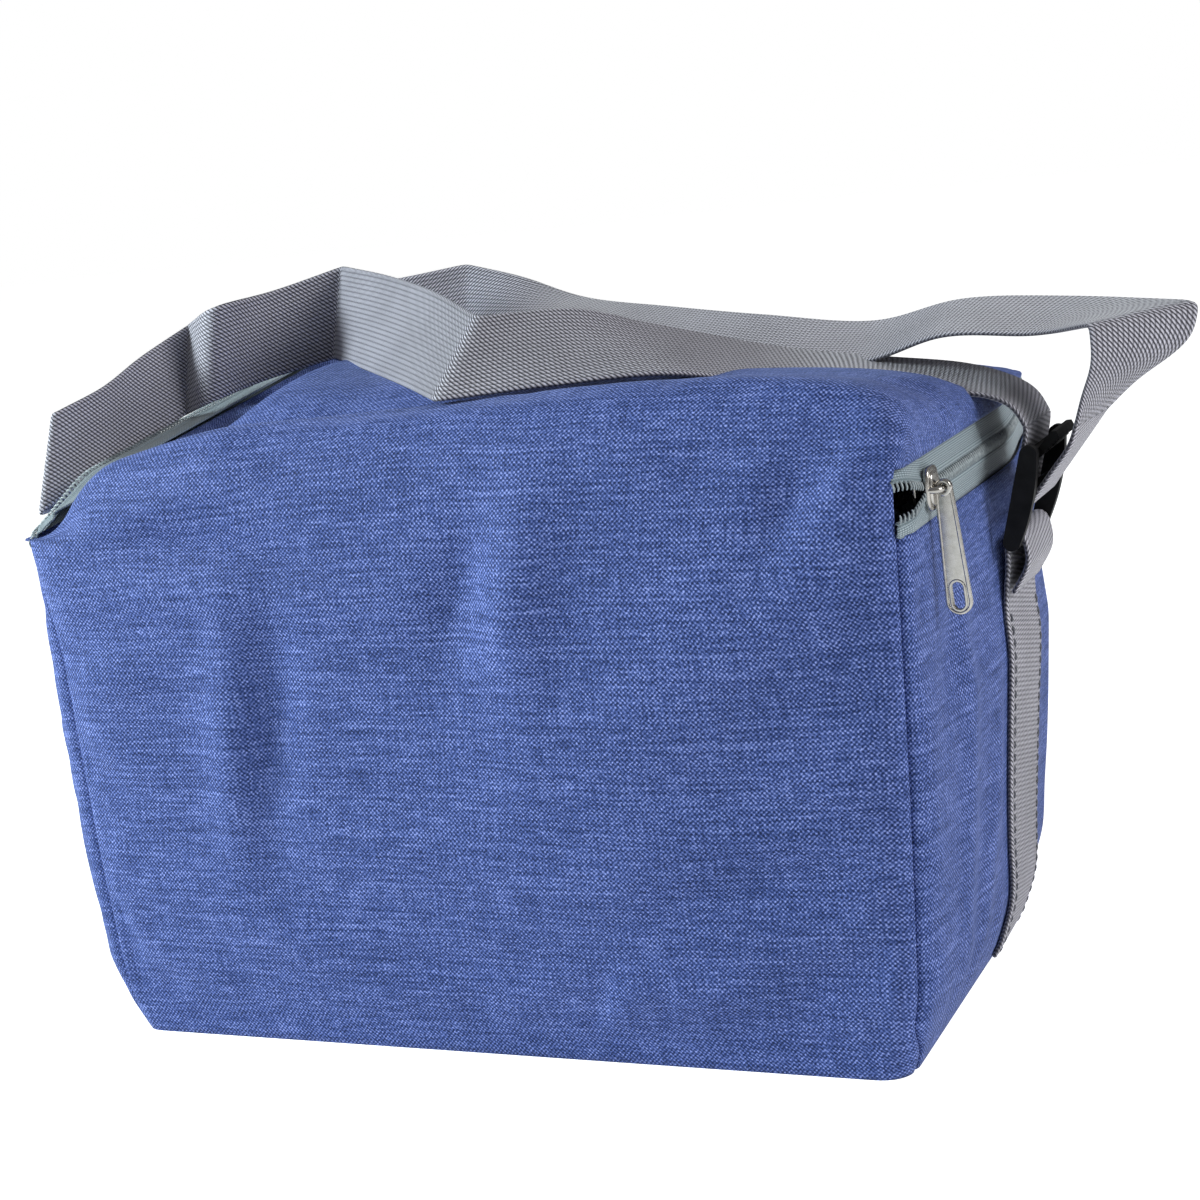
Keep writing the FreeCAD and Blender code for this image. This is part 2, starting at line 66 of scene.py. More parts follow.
LID_HIGH = node_box("lid_panel")[1]
TAPE_LOW = node_box("zip_tape_lower")[0][2]
TAPE_HIGH = node_box("zip_tape_upper")[1][2]
HALF_X = LID_HIGH[0]
HALF_Y = LID_HIGH[1]
ZIP_Z = (TAPE_LOW + TAPE_HIGH) / 2
HINGE_Z = ZIP_Z                 # the fold between the near panel and the lid
SLIDER_LOW, SLIDER_HIGH = node_box("zip_slider")
PULL_LOW = node_box("pull_tab")[0]
LOCK_JOINT = next(j for j in frame["joints"] if j["name"] == "buckle_tilt")

EDGE_TUCK = 3.0                 # how far a panel's edge turns in at a seam
TUCK_SLOPE = 0.7                # at 45 degrees, so it goes this much in and this much back
RIDGE_Z = 184.0                 # lid height along its hinge side
REAR_TOP_Z = 181.0              # lid height behind the ridge
REAR_TILT = 0.085               # the lid falls this much per mm towards +X
LEFT_RISE = 25.0                # the zip's far left corner is pushed up this far
LEFT_FOLD = 8.0                 # width of the zip band that lies folded flat on the left
LEFT_ZIP_LIFT = 9.5             # that band sits this much higher
LEFT_FOLD_X = -105.0            # the folding starts here and is complete at the left edge
FAR_RIGHT_DRAW = 10.0           # the far right corner is drawn in this far
RISE_FROM_Y = -85.0             # the rise grows from here towards the far side
RISE_LENGTH = 177.0


# ---- small maths helpers ---------------------------------------------------
def smooth(a, b, x):
    """0 before a, 1 after b and an S-shaped rise between; b may be less than a."""
    t = np.clip((np.asarray(x, float) - a) / (b - a), 0.0, 1.0)
    return t * t * (3.0 - 2.0 * t)


def rise(x, y):
    """How far the slumped bag pushes its top edge up at plan position x, y."""
    back = np.clip((y - RISE_FROM_Y) / RISE_LENGTH, 0.0, 1.1)
    left = np.clip((HALF_X - x) / (2 * HALF_X), 0.0, 1.1)
    return LEFT_RISE * back * left + zip_lift(x, y)


def zip_lift(x, y):
    """How much higher the zip that lies folded flat on the left sits."""
    return LEFT_ZIP_LIFT * smooth(LEFT_FOLD_X, -HALF_X, x) * smooth(-88.0, -50.0, y)


def warp(p):
    """The slump of the soft bag: the far left corner rises, the far right corner draws in."""
    q = np.array(p, float)
    x, y, z = q[..., 0].copy(), q[..., 1].copy(), q[..., 2].copy()
    q[..., 2] += rise(x, y) * smooth(30.0, 150.0, z)
    q[..., 0] -= FAR_RIGHT_DRAW * smooth(5.0, 90.0, y) * np.clip(x / HALF_X, 0.0, 1.0)
    return q


def distances(points):
    """How far along the polyline each of its points is."""
    steps = np.linalg.norm(np.diff(points, axis=0), axis=1)
    return np.concatenate([[0.0], np.cumsum(steps)])


def at_distance(points, s, t):
    """Points at distance t along a polyline whose own points lie at distances s."""
    return np.stack([np.interp(t, s, column) for column in points.T], axis=-1)


def directions(points):
    """Unit direction of the polyline at each of its points."""
    run = np.gradient(points, axis=0)
    return run / np.linalg.norm(run, axis=1)[:, None]


def resample(points, count):
    """count points evenly spaced along a polyline."""
    points = np.asarray(points, float)
    s = distances(points)
    return at_distance(points, s, np.linspace(0.0, s[-1], count))


def spline(points, per_span=12):
    """Catmull-Rom curve through the points."""
    p = np.asarray(points, float)
    p = np.vstack([2 * p[0] - p[1], p, 2 * p[-1] - p[-2]])
    out = []
    for i in range(1, len(p) - 2):
        for k in range(per_span):
            t = k / per_span
            a = 2 * p[i]
            b = p[i + 1] - p[i - 1]
            c = 2 * p[i - 1] - 5 * p[i] + 4 * p[i + 1] - p[i + 2]
            d = 3 * p[i] - p[i - 1] - 3 * p[i + 1] + p[i + 2]
            out.append(0.5 * (a + b * t + c * t * t + d * t ** 3))
    out.append(p[-2])
    return np.array(out)


# ---- mesh helpers ----------------------------------------------------------
def new_object(name, verts_mm, faces, uvs_mm=None):
    """Smooth shaded mesh from places, faces and weave coordinates in mm."""
    mesh = bpy.data.meshes.new(name)
    mesh.from_pydata([tuple(v) for v in np.asarray(verts_mm) * MM], [], faces)
    if uvs_mm is not None:
        layer = mesh.uv_layers.new(name="weave")
        index = np.zeros(len(mesh.loops), np.int32)
        mesh.loops.foreach_get("vertex_index", index)
        layer.data.foreach_set("uv", np.asarray(uvs_mm, np.float32)[index].ravel())
    mesh.update()
    mesh.polygons.foreach_set("use_smooth", [True] * len(mesh.polygons))
    obj = bpy.data.objects.new(name, mesh)
    bpy.context.scene.collection.objects.link(obj)
    return obj


def grid_faces(rows, cols):
    """Four-sided faces over rows of vertices."""
    starts = [j * cols + i for j in range(rows - 1) for i in range(cols - 1)]
    return [(k, k + 1, k + 1 + cols, k + cols) for k in starts]


def rod_faces(base, rings, sides):
    """Faces of a closed rod whose rings of vertices follow one another from base."""
    faces = []
    for j in range(rings - 1):
        low, high = base + j * sides, base + (j + 1) * sides
        for i in range(sides):
            k = (i + 1) % sides
            faces.append((low + i, low + k, high + k, high + i))
    last = base + (rings - 1) * sides
    faces.append(tuple(base + i for i in range(sides))[::-1])
    faces.append(tuple(last + i for i in range(sides)))
    return faces


def weave_coordinates(points):
    """Distances in mm along each row, from its middle, and up each column."""
    run = np.linalg.norm(np.diff(points, axis=1), axis=2)
    climb = np.linalg.norm(np.diff(points, axis=0), axis=2)
    u = np.pad(np.cumsum(run, axis=1), ((0, 0), (1, 0)))
    v = np.pad(np.cumsum(climb, axis=0), ((1, 0), (0, 0)))
    return np.stack([u - u[:, [points.shape[1] // 2]], v], axis=2)


def grid_object(name, points, flip):
    rows, cols = points.shape[:2]
    faces = grid_faces(rows, cols)
    if flip:
        faces = [f[::-1] for f in faces]
    return new_object(name, points.reshape(-1, 3), faces, weave_coordinates(points).reshape(-1, 2))


def modify(obj, kind, **settings):
    mod = obj.modifiers.new(kind.lower(), kind)
    for key, value in settings.items():
        setattr(mod, key, value)


def apply_all(obj):
    """Replace the object's mesh by its evaluated mesh."""
    bpy.context.view_layer.update()
    graph = bpy.context.evaluated_depsgraph_get()
    mesh = bpy.data.meshes.new_from_object(obj.evaluated_get(graph))
    obj.modifiers.clear()
    obj.data = mesh


# ---- panel shapes ----------------------------------------------------------
CORNER_R = 8.0
# half width or depth of the soft body at heights above the base
HEIGHTS = [0.0, 8.0, 22.0, 55.0, 95.0, 135.0, 153.0]
REACH = {
    "right": [122.0, 125.5, 129.0, 131.0, 133.0, 134.5, 135.0],
    "left": [122.5, 126.5, 131.0, 132.5, 133.0, 133.0, 135.0],
    "near": [88.6, 89.0, 89.4, 89.6, 89.8, 90.0, 90.0],
    "far": [88.0, 88.5, 89.0, 89.5, 89.8, 90.0, 90.0],
}
# how far the middle of each panel stands out from its edges
BULGE = {
    "right": [0.0, 1.0, 2.5, 4.5, 6.8, 3.2, 0.0],
    "left": [0.0, 1.5, 4.5, 9.0, 10.0, 5.0, 0.0],
    "near": [0.0, 0.5, 1.5, 3.0, 3.0, 2.0, 0.5],
    "far": [0.0, 0.5, 2.0, 4.0, 4.5, 3.0, 0.0],
}
# near is the hinge side, which the CAD nodes call rear, and far is the zip side, their front;
# each panel as (neighbour at its low end, neighbour at its high end, facing, along)
LAYOUT = {
    "near": ("left", "right", (0, -1), (1, 0)),
    "right": ("near", "far", (1, 0), (0, 1)),
    "far": ("right", "left", (0, 1), (-1, 0)),
    "left": ("far", "near", (-1, 0), (0, -1)),
}
BULGE_BACK = 0.4                # the right panel's bulge peaks this much further back


def at_height(table, side, z):
    """A panel's entry in REACH or BULGE at height z."""
    return float(np.interp(z, HEIGHTS, table[side]))


def swell(side, s, z):
    """How far a panel stands out at s = -1..1 across it and height z."""
    if side == "right":
        s = s - BULGE_BACK * (1 - s ** 2)
    power = 4 if side in ("near", "far") else 2
    return at_height(BULGE, side, z) * (1 - np.abs(s) ** power)


def round_corners(x, y, half_x, half_y):
    """Draw in what lies beyond both half sizes, so that a rectangle's corners are round."""
    dx, dy = np.abs(x) - half_x, np.abs(y) - half_y
    inside = (dx > 0) & (dy > 0)
    k = np.maximum(dx, dy) / np.maximum(np.hypot(dx, dy), 1e-6)
    return (np.where(inside, np.sign(x) * (half_x + dx * k), x),
            np.where(inside, np.sign(y) * (half_y + dy * k), y))


def seam_share(side, other, z):
    """The part of the corner's quarter turn that belongs to this panel."""
    if {side, other} == {"near", "left"}:
        near = 0.1 + 0.4 * float(smooth(112.0, 150.0, z)) + 0.3 * float(smooth(25.0, 2.0, z))
        return near if side == "near" else 1.0 - near
    if {side, other} == {"near", "right"}:
        near = 0.5 + 0.4 * float(smooth(13.0, 5.0, z))
        return near if side == "near" else 1.0 - near
    return 0.5


def wall_grid(side, z_values, cols=49):
    """One wall panel as rows x cols x 3, its two edges turned in at the corner seams."""
    low_side, high_side, facing, along = LAYOUT[side]
    rows = []
    for z in z_values:
        out = at_height(REACH, side, z)
        ends = []
        for other in (low_side, high_side):
            flat = at_height(REACH, other, z) - CORNER_R
            turn = seam_share(side, other, z) * math.pi / 2
            ends.append((flat, turn, flat + CORNER_R * turn + EDGE_TUCK))
        q = np.linspace(-ends[0][2], ends[1][2], cols)
        run = np.zeros(cols)
        depth = np.zeros(cols)
        for sign, (flat, turn, _) in zip((-1, 1), ends):
            mine = q * sign > 0
            d = np.abs(q)
            a = np.clip((d - flat) / CORNER_R, 0.0, turn)
            over = np.clip(d - flat - CORNER_R * turn, 0.0, None)
            r = np.minimum(d, flat) + CORNER_R * np.sin(a) - over * TUCK_SLOPE
            t = CORNER_R * (1.0 - np.cos(a)) + over * TUCK_SLOPE
            run = np.where(mine, sign * r, run)
            depth = np.where(mine, t, depth)
        s = np.clip((q - q[0]) / (q[-1] - q[0]) * 2 - 1, -1, 1)
        reach = out - depth + swell(side, s, z)
        rows.append(np.stack([run * along[0] + reach * facing[0],
                              run * along[1] + reach * facing[1],
                              np.full(cols, z)], axis=1))
    return np.array(rows)


LID_TILT = 0.02                 # the hinge side rises this much per mm towards +X
LEFT_SLOPE = 9.0                # and falls this far at its left end
VALLEY_Y = -50.0                # middle of the dip between the hinge side and the hump
VALLEY_HALF = 17.0
VALLEY_DEPTH = (4.0, 9.0)       # at the right, and what it gains towards the left
FAR_FALL = 6.0                  # the lid falls this far towards its far edge


def lid_top(x, y):
    """Height of the lid's cloth: a ridge by the hinge, a valley, then the hump behind it."""
    ridge = RIDGE_Z + LID_TILT * x - LEFT_SLOPE * smooth(-60.0, -125.0, x)
    rear = REAR_TOP_Z - REAR_TILT * x
    top = ridge + (rear - ridge) * smooth(-60.0, 22.0, y)
    valley = VALLEY_DEPTH[0] + VALLEY_DEPTH[1] * smooth(40.0, -80.0, x)
    top = top - valley * np.exp(-((y - VALLEY_Y) / VALLEY_HALF) ** 2)
    return top - FAR_FALL * smooth(40.0, 90.0, y)


VAULT_POWER = 4.2               # squareness of the lid's section; 2 is an ellipse
VAULT_RISE = 26.0


def vault_profile(cols):
    """Across-the-lid profile: x as a share of the half width, height as a share of the rise."""
    theta = np.linspace(-math.pi / 2, math.pi / 2, 721)
    x = np.sign(theta) * np.abs(np.sin(theta)) ** (2.0 / VAULT_POWER)
    f = np.abs(np.cos(theta)) ** (2.0 / VAULT_POWER)
    shape = resample(np.stack([x * HALF_X, f * VAULT_RISE], axis=1), cols)
    return shape[:, 0] / HALF_X, np.clip(shape[:, 1] / VAULT_RISE, 0, 1)


def left_flank(x, y):
    """Share of the lid's height above its left edge: a low shelf by the zip, then the hump."""
    back = smooth(-65.0, -20.0, y)
    return smooth(-130.0 + 12.0 * back, -104.0 + 24.0 * back, x)


COVER_COLS = 97
NEAR_ROWS = 34
LID_ROWS = 64
CLOSE_TO_ZIP = 0.6              # how far above the zip the lid's left edge lies
LID_CORNER_R = 14.0


def lid_path():
    """The lid's side view as y, z places, from the hinge over the top to the far zip edge."""
    hinge_side = [(-HALF_Y, HINGE_Z), (-HALF_Y + 1.0, 163), (-HALF_Y + 3.0, 173), (-HALF_Y + 9.0, 181)]
    top = [(-70, RIDGE_Z), (-40, RIDGE_Z), (0, RIDGE_Z), (40, 183), (68, 181), (82, 175)]
    return resample(spline(hinge_side + top + [(HALF_Y - 1.0, 167), (HALF_Y, TAPE_HIGH)]), LID_ROWS)


def cover_grid():
    """The near panel and the lid as one cloth, from the base to the far zip edge."""
    wall = wall_grid("near", np.linspace(0.0, HINGE_Z, NEAR_ROWS), COVER_COLS)
    share_x, share_f = vault_profile(COVER_COLS)
    folded = smooth(LEFT_FOLD_X, -HALF_X, share_x * HALF_X)
    left_edge = TAPE_HIGH - (TAPE_HIGH - ZIP_Z - CLOSE_TO_ZIP) * folded
    rows = []
    last_wall = wall[-1]
    for y, level in lid_path()[1:]:
        like_wall = 1.0 - smooth(HINGE_Z, 178.0, level) if y < 0 else 0.0
        x = share_x * HALF_X * (1 - like_wall) + last_wall[:, 0] * like_wall
        edge = np.minimum(level, left_edge) if y < 0 else left_edge
        lift = np.clip((level - TAPE_HIGH) / (RIDGE_Z - TAPE_HIGH), 0.0, 1.0)
        top = lid_top(x, np.full(COVER_COLS, y)) - rise(x, np.full(COVER_COLS, y))
        z = edge + (top - edge) * np.where(x < 0, left_flank(x, y), share_f) * lift
        rows.append(np.stack([x, y + (last_wall[:, 1] + HALF_Y) * like_wall, z], axis=1))
    lid = np.array(rows)
    far = lid[..., 1] > 0           # only the lid's far corners are round in plan
    corners = round_corners(lid[far, 0], lid[far, 1], HALF_X - LID_CORNER_R, HALF_Y - LID_CORNER_R)
    lid[far, 0], lid[far, 1] = corners
    # on the left the zip folds flat, so the lid's edge stops short of it
    lid[..., 0] += LEFT_FOLD * smooth(-95.0, -HALF_X, lid[..., 0]) * smooth(-88.0, -72.0, lid[..., 1])
    return warp(np.vstack([wall, lid]))


BASE_SHARE = (0.992, 0.99)      # the bottom panel's part of the foot's width and depth
BASE_Z = 0.3


def base_grid(cols=65, rows=45):
    """The bottom panel, inside the foot of the four walls, its corners rounded."""
    u, v = np.meshgrid(np.linspace(-1, 1, cols), np.linspace(-1, 1, rows))
    half_x = np.where(u > 0, REACH["right"][0], REACH["left"][0])
    half_y = REACH["near"][0]
    x, y = round_corners(u * half_x, v * half_y, half_x - CORNER_R, half_y - CORNER_R)
    return warp(np.stack([x * BASE_SHARE[0], y * BASE_SHARE[1], np.full_like(x, BASE_Z)], axis=2))


BAG_CENTRE = np.array([0.0, 0.0, 90.0])


def outward(grid):
    """Unit surface normals that point away from the middle of the bag."""
    n = np.cross(np.gradient(grid, axis=1), np.gradient(grid, axis=0))
    n /= np.maximum(np.linalg.norm(n, axis=2), 1e-9)[..., None]
    sign = np.sign(np.sum(n * (grid - BAG_CENTRE), axis=2))[..., None]
    return n * sign


def sheet_object(name, outer, inner):
    """Closed sheet between two matching grids."""
    rows, cols = outer.shape[:2]
    count = rows * cols
    faces = grid_faces(rows, cols)
    faces += [tuple(i + count for i in f[::-1]) for f in grid_faces(rows, cols)]
    rim = list(range(cols))
    rim += [j * cols + cols - 1 for j in range(1, rows)]
    rim += [(rows - 1) * cols + i for i in range(cols - 2, -1, -1)]
    rim += [j * cols for j in range(rows - 2, 0, -1)]
    for a, b in zip(rim, rim[1:] + rim[:1]):
        faces.append((b, a, a + count, b + count))
    uv = weave_coordinates(outer).reshape(-1, 2)
    verts = np.vstack([outer.reshape(-1, 3), inner.reshape(-1, 3)])
    return new_object(name, verts, faces, np.vstack([uv, uv]))


# ---- webbing ---------------------------------------------------------------
WEB_WIDTH = 30.0
WEB_THICK = 1.4
SELVEDGE_THIN = 0.5             # the webbing's edges are thinner by this share
RIB_PITCH = 1.5
RIB_HEIGHT = 0.14
WEB_COLS = 61


def ribbon_path(sections, creases, step):
    """Dense edge curves through listed sections; creases are section numbers
    where the webbing is folded sharply."""
    a = np.array([s[0] for s in sections], float)
    b = np.array([s[1] for s in sections], float)
    both = np.hstack([a, b])
    stops = [0] + list(creases) + [len(sections) - 1]
    out = []
    for low, high in zip(stops, stops[1:]):
        run = spline(both[low:high + 1], 20)
        out.append(run if not out else run[1:])
    dense = np.vstack(out)
    mid = (dense[:, :3] + dense[:, 3:]) / 2
    s = distances(mid)
    t = np.linspace(0.0, s[-1], int(s[-1] / step))
    dense = at_distance(dense, s, t)
    for _ in range(3):           # gives each fold a small radius
        dense[1:-1] = (dense[:-2] + 2 * dense[1:-1] + dense[2:]) / 4
    return dense[:, :3], dense[:, 3:], t


def ribbon_object(name, sections, creases=(), step=1.2):
    """Webbing with woven ribs along its length and thin selvedges."""
    a, b, t = ribbon_path(sections, creases, step)
    run = np.gradient((a + b) / 2, axis=0)
    across = b - a
    normal = np.cross(run, across)
    normal /= np.linalg.norm(normal, axis=1)[:, None]
    u = np.linspace(0.0, 1.0, WEB_COLS)
    edge = np.abs(2 * u - 1)
    rib = RIB_HEIGHT * (np.abs(np.sin(math.pi * u * WEB_WIDTH / RIB_PITCH)) - 0.5)
    half = WEB_THICK / 2 * (1.0 - SELVEDGE_THIN * smooth(0.93, 1.0, edge)) + rib
    ring_u = np.concatenate([u, u[::-1]])
    ring_half = np.concatenate([half, -half[::-1]])
    verts = a[:, None] + across[:, None] * ring_u[None, :, None]
    verts = verts + normal[:, None] * ring_half[None, :, None]
    uv = np.stack(np.meshgrid(ring_u * WEB_WIDTH, t), axis=2)
    return new_object(name, verts.reshape(-1, 3), rod_faces(0, len(t), 2 * WEB_COLS), uv.reshape(-1, 2))


def foot_drift(z):
    """How far back of the middle the webbing on the side panels lies at height z."""
    return 7.0 * smooth(60.0, 0.0, z)


BAND_HALF = 14.9                # half the width of webbing that lies flat
STRAP_HALF = 14.5               # and of the strap, which is a little narrower at the buckle


def flat_band(points, half=BAND_HALF):
    """Ribbon sections for a band along x, z points, centred on y = 0."""
    return [((x, -half, z), (x, half, z)) for x, z in points]


def turn(centre, radius, start, end):
    """Seven points on an arc in the XZ plane, angles in degrees from +X towards +Z."""
    angles = [math.radians(d) for d in np.linspace(start, end, 7)]
    return [(centre[0] + radius * math.cos(a), centre[1] + radius * math.sin(a)) for a in angles]


# the strap as it lies on the lid: at each section, the places of the webbing's two edges.
# the main run goes from the left webbing to the buckle, the tail from the buckle over the lid
RUN_A = [
    ((-142, -15, 147), (-142, 15, 147)),
    ((-143, -16, 152), (-143, 14, 153)),
    ((-147, -27, 157), (-146, -8, 180)),
    ((-153, -42, 156), (-152, -29, 186)),
    ((-150, -60, 156.5), (-148, -48, 186)),
    ((-143, -42, 164), (-143.5, -27, 191)),
    ((-140, -20, 170), (-141, -7.5, 198)),
    ((-134, 3, 177), (-136, 15, 205.5)),
    ((-122, 1, 180.5), (-117, 3, 211)),
    ((-114, 20, 184), (-109, 26, 213)),
    ((-96, 38, 188), (-90, 41, 218)),
    ((-60, -3, 187), (-54, 8, 215)),
    ((-24, -45, 186), (-17, -31, 211)),
    ((2, -75, 184.5), (9, -57, 205)),
    ((34, -62, 185), (30, -40, 203.5)),
    ((60, -48, 184), (48, -26, 196)),
    ((84, -26, 177), (74, 2, 184)),
    ((100, -16, 176), (98, 13, 178)),
    ((122, -14, 170.5), (124, 15, 174)),
    ((138, -14.5, 168), (138, 14.5, 169.5)),
    ((145, -14.5, 164.5), (145, 14.5, 165)),
    ((148.2, -14.5, 159), (148.2, 14.5, 159)),
]
RUN_B = [
    ((162, -14.5, 159), (164.5, 14.5, 159)),
    ((164, -14, 166), (174, 13, 167)),
    ((167, -13, 175), (189, 7, 177)),
    ((167, -12, 185), (193, 6, 187)),
    ((150, -7, 183), (154, 20, 190)),
    ((124, -3, 184), (123, 26, 191)),
    ((96, 6, 177), (93, 35, 186)),
    ((60, 14, 178), (57, 41, 190)),
    ((20, 29, 186), (18, 56, 194)),
    ((-13, 38, 194), (-14, 67, 198)),
    ((-36, 49, 188), (-38, 69, 207)),
    ((-58, 61, 185), (-60, 72, 213)),
    ((-80, 56, 184), (-82, 61, 211)),
    ((-103, 60, 184), (-105, 63, 210)),
]


BAR_X, _, BAR_Z = (c / MM for c in LOCK_JOINT["pos_m"])
LOCK_LEAN = math.radians(15.0)


def lock_to_world(points):
    """Points in the ladder lock's own upright XZ plane, put where the lock stands."""
    c, q = math.cos(LOCK_LEAN), math.sin(LOCK_LEAN)
    return [(BAR_X + x * c + z * q, BAR_Z - x * q + z * c) for x, z in points]


# ---- zip -------------------------------------------------------------------
COIL_PITCH = 1.7
ZIP_OUT = 0.2                   # the zip stands this far out of the bag's edge
NEAR_END = 88.4                 # both ends of the zip are this far towards the near panel
ZIP_CORNER = 9.0
OPEN_GAP = 3.6                  # the teeth spread this far at the open end
SLIDER_Y = (SLIDER_LOW[1] + SLIDER_HIGH[1]) / 2
SHUT_LEAN = 0.15                # the upper tape leans in this much, in radians
FOLD_LEAN = 1.35                # and this much more where it lies folded flat


def zip_line():
    """Centre line of the zip: places, outward directions, inward lean of the upper tape in
    radians and the half gap between the two rows of teeth."""
    hx, hy, r = HALF_X + ZIP_OUT, HALF_Y + ZIP_OUT, ZIP_CORNER
    quarter = np.linspace(0, math.pi / 2, 9)
    pts = [(-hx + 4.0, -NEAR_END + 0.5), (-hx, -NEAR_END + 7.0), (-hx, hy - r)]
    pts += [(-hx + r - r * math.cos(a), hy - r + r * math.sin(a)) for a in quarter[1:]]
    pts += [(hx - r + r * math.sin(a), hy - r + r * math.cos(a)) for a in quarter]
    pts += [(hx, -NEAR_END + 6.0), (hx - 2.2, -NEAR_END)]
    pts = np.array(pts)
    pts = resample(pts, int(distances(pts)[-1] / COIL_PITCH))
    run = directions(pts)
    out = np.stack([-run[:, 1], run[:, 0], np.zeros(len(pts))], axis=1)
    x, y = pts[:, 0], pts[:, 1]
    folded = smooth(LEFT_FOLD_X, -HALF_X + 6.0, x)
    centre = warp(np.stack([x, y, np.full(len(pts), ZIP_Z)], axis=1))
    lean = SHUT_LEAN + FOLD_LEAN * folded * (0.5 + 0.5 * smooth(-84.0, -60.0, y))
    gap = OPEN_GAP * smooth(SLIDER_Y + 3.0, -NEAR_END, y) * smooth(0.0, HALF_X, x)
    return centre, out, lean, gap


# across the tape: distance from the zip's centre line, height above the bag's surface
TAPE_PROFILE = [(1.7, -0.5), (1.7, 0.0), (2.1, 0.35), (2.7, 0.5), (3.3, 0.35),
                (3.8, 0.05), (4.6, 0.05), (6.0, 0.1), (7.4, 0.0), (8.8, -0.5)]
TAPE_SINK = 0.2                 # the tape lies this much lower than the profile says


def zip_frames(side):
    """Origin, direction away from the centre line and outward direction for one half."""
    centre, out, lean, gap = zip_line()
    up = np.array([0.0, 0.0, 1.0])
    if side < 0:
        lean = np.zeros(len(centre))
    away = side * (up * np.cos(lean)[:, None]) - side * out * np.sin(lean)[:, None]
    face = out * np.cos(lean)[:, None] + up * np.sin(lean)[:, None]
    return centre, away, face, gap


def zip_tape(name, side):
    """One tape; near the open end it is gathered between its sewn edge and the spread teeth."""
    centre, away, face, gap = zip_frames(side)
    rows = []
    for t, h in TAPE_PROFILE:
        reach = np.maximum(t, t * 0.3 + gap + 1.2)[:, None]
        rows.append(centre + away * reach + face * (h - TAPE_SINK))
    return grid_object(name, np.array(rows), side < 0)


COIL_RADIUS = 0.3
# one turn of the coil, from the tape over the centre line: distance away, height
COIL_TURN = [(1.9, 0.35), (1.2, 0.9), (0.0, 1.1), (-0.75, 0.8)]
ROD_SIDES = 6


def rod_ring(centre, radius, one, two):
    """Vertices round a rod, in the plane of two directions at right angles."""
    angles = np.arange(ROD_SIDES) * 2 * math.pi / ROD_SIDES
    return [centre + radius * (one * math.cos(a) + two * math.sin(a)) for a in angles]


def zip_teeth(name, side):
    """One row of coil turns, each a small bent capsule that reaches over the centre line."""
    centre, away, face, gap = zip_frames(side)
    run = directions(centre)
    verts, faces = [], []
    for k in range(len(centre)):
        faces += rod_faces(len(verts), len(COIL_TURN), ROD_SIDES)
        origin = centre[k] + run[k] * (COIL_PITCH * 0.25 * side) + away[k] * gap[k]
        for j, (t, h) in enumerate(COIL_TURN):
            spot = origin + away[k] * t + face[k] * h
            radius = COIL_RADIUS * (0.75 if j in (0, len(COIL_TURN) - 1) else 1.0)
            verts += rod_ring(spot, radius, run[k], face[k])
    return new_object(name, np.array(verts), faces, np.array(verts)[:, :2])


# ---- hardware ----------------------------------------------------------------
def flat_part(name, outlines, thickness, rounding):
    """Flat part with rounded edges from closed outlines in mm; outlines inside the first are holes.
    Outline x runs along world Y, outline y along world Z and the thickness along world X."""
    curve = bpy.data.curves.new(name, "CURVE")
    curve.dimensions = "2D"
    curve.fill_mode = "BOTH"
    curve.extrude = (thickness / 2 - rounding) * MM
    curve.bevel_depth = rounding * MM
    curve.bevel_resolution = 3
    curve.offset = -rounding * MM
    for points in outlines:
        line = curve.splines.new("POLY")
        line.points.add(len(points) - 1)
        for point, (x, y) in zip(line.points, points):
            point.co = (x * MM, y * MM, 0.0, 1.0)
        line.use_cyclic_u = True
    return to_mesh(name, curve, Matrix(((0, 0, 1), (1, 0, 0), (0, 1, 0))).to_4x4())


def tube(name, points, radius):
    """Round bar along a smooth curve through points in mm."""
    curve = bpy.data.curves.new(name, "CURVE")
    curve.dimensions = "3D"
    curve.bevel_depth = radius * MM
    curve.bevel_resolution = 5
    curve.use_fill_caps = True
    points = spline(points, 6)
    line = curve.splines.new("POLY")
    line.points.add(len(points) - 1)
    for point, place in zip(line.points, points):
        point.co = (*(place * MM), 1.0)
    return to_mesh(name, curve, Matrix.Identity(4))


def to_mesh(name, curve, turn_matrix):
    """Mesh object from a curve, turned about the origin."""
    temp = bpy.data.objects.new(name + "_line", curve)
    bpy.context.scene.collection.objects.link(temp)
    bpy.context.view_layer.update()
    mesh = bpy.data.meshes.new_from_object(temp)
    bpy.data.objects.remove(temp)
    mesh.transform(turn_matrix)
    mesh.polygons.foreach_set("use_smooth", [True] * len(mesh.polygons))
    obj = bpy.data.objects.new(name, mesh)
    bpy.context.scene.collection.objects.link(obj)
    return obj


def shift(obj, x, y, z):
    """Move the object's mesh by millimetres."""
    obj.data.transform(Matrix.Translation((x * MM, y * MM, z * MM)))
    return obj


def join(name, parts):
    """One object from several, in the order given."""
    meshes = [p.data for p in parts]
    verts, faces = [], []
    for mesh in meshes:
        base = len(verts)
        verts += [v.co / MM for v in mesh.vertices]
        faces += [tuple(base + i for i in f.vertices) for f in mesh.polygons]
    for p in parts:
        bpy.data.objects.remove(p)
    obj = new_object(name, np.array(verts), faces)
    obj.data.set_sharp_from_angle(angle=math.radians(40))
    return obj


def shield(half_x, half_y, round_top, round_low):
    """Superellipse outline, squarer above or below the middle as the two powers say."""
    pts = []
    for a in np.linspace(0, 2 * math.pi, 65)[:-1]:
        c, q = math.cos(a), math.sin(a)
        power = round_top if q > 0 else round_low
        pts.append((half_x * math.copysign(abs(c) ** (2 / power), c),
                    half_y * math.copysign(abs(q) ** (2 / power), q)))
    return pts


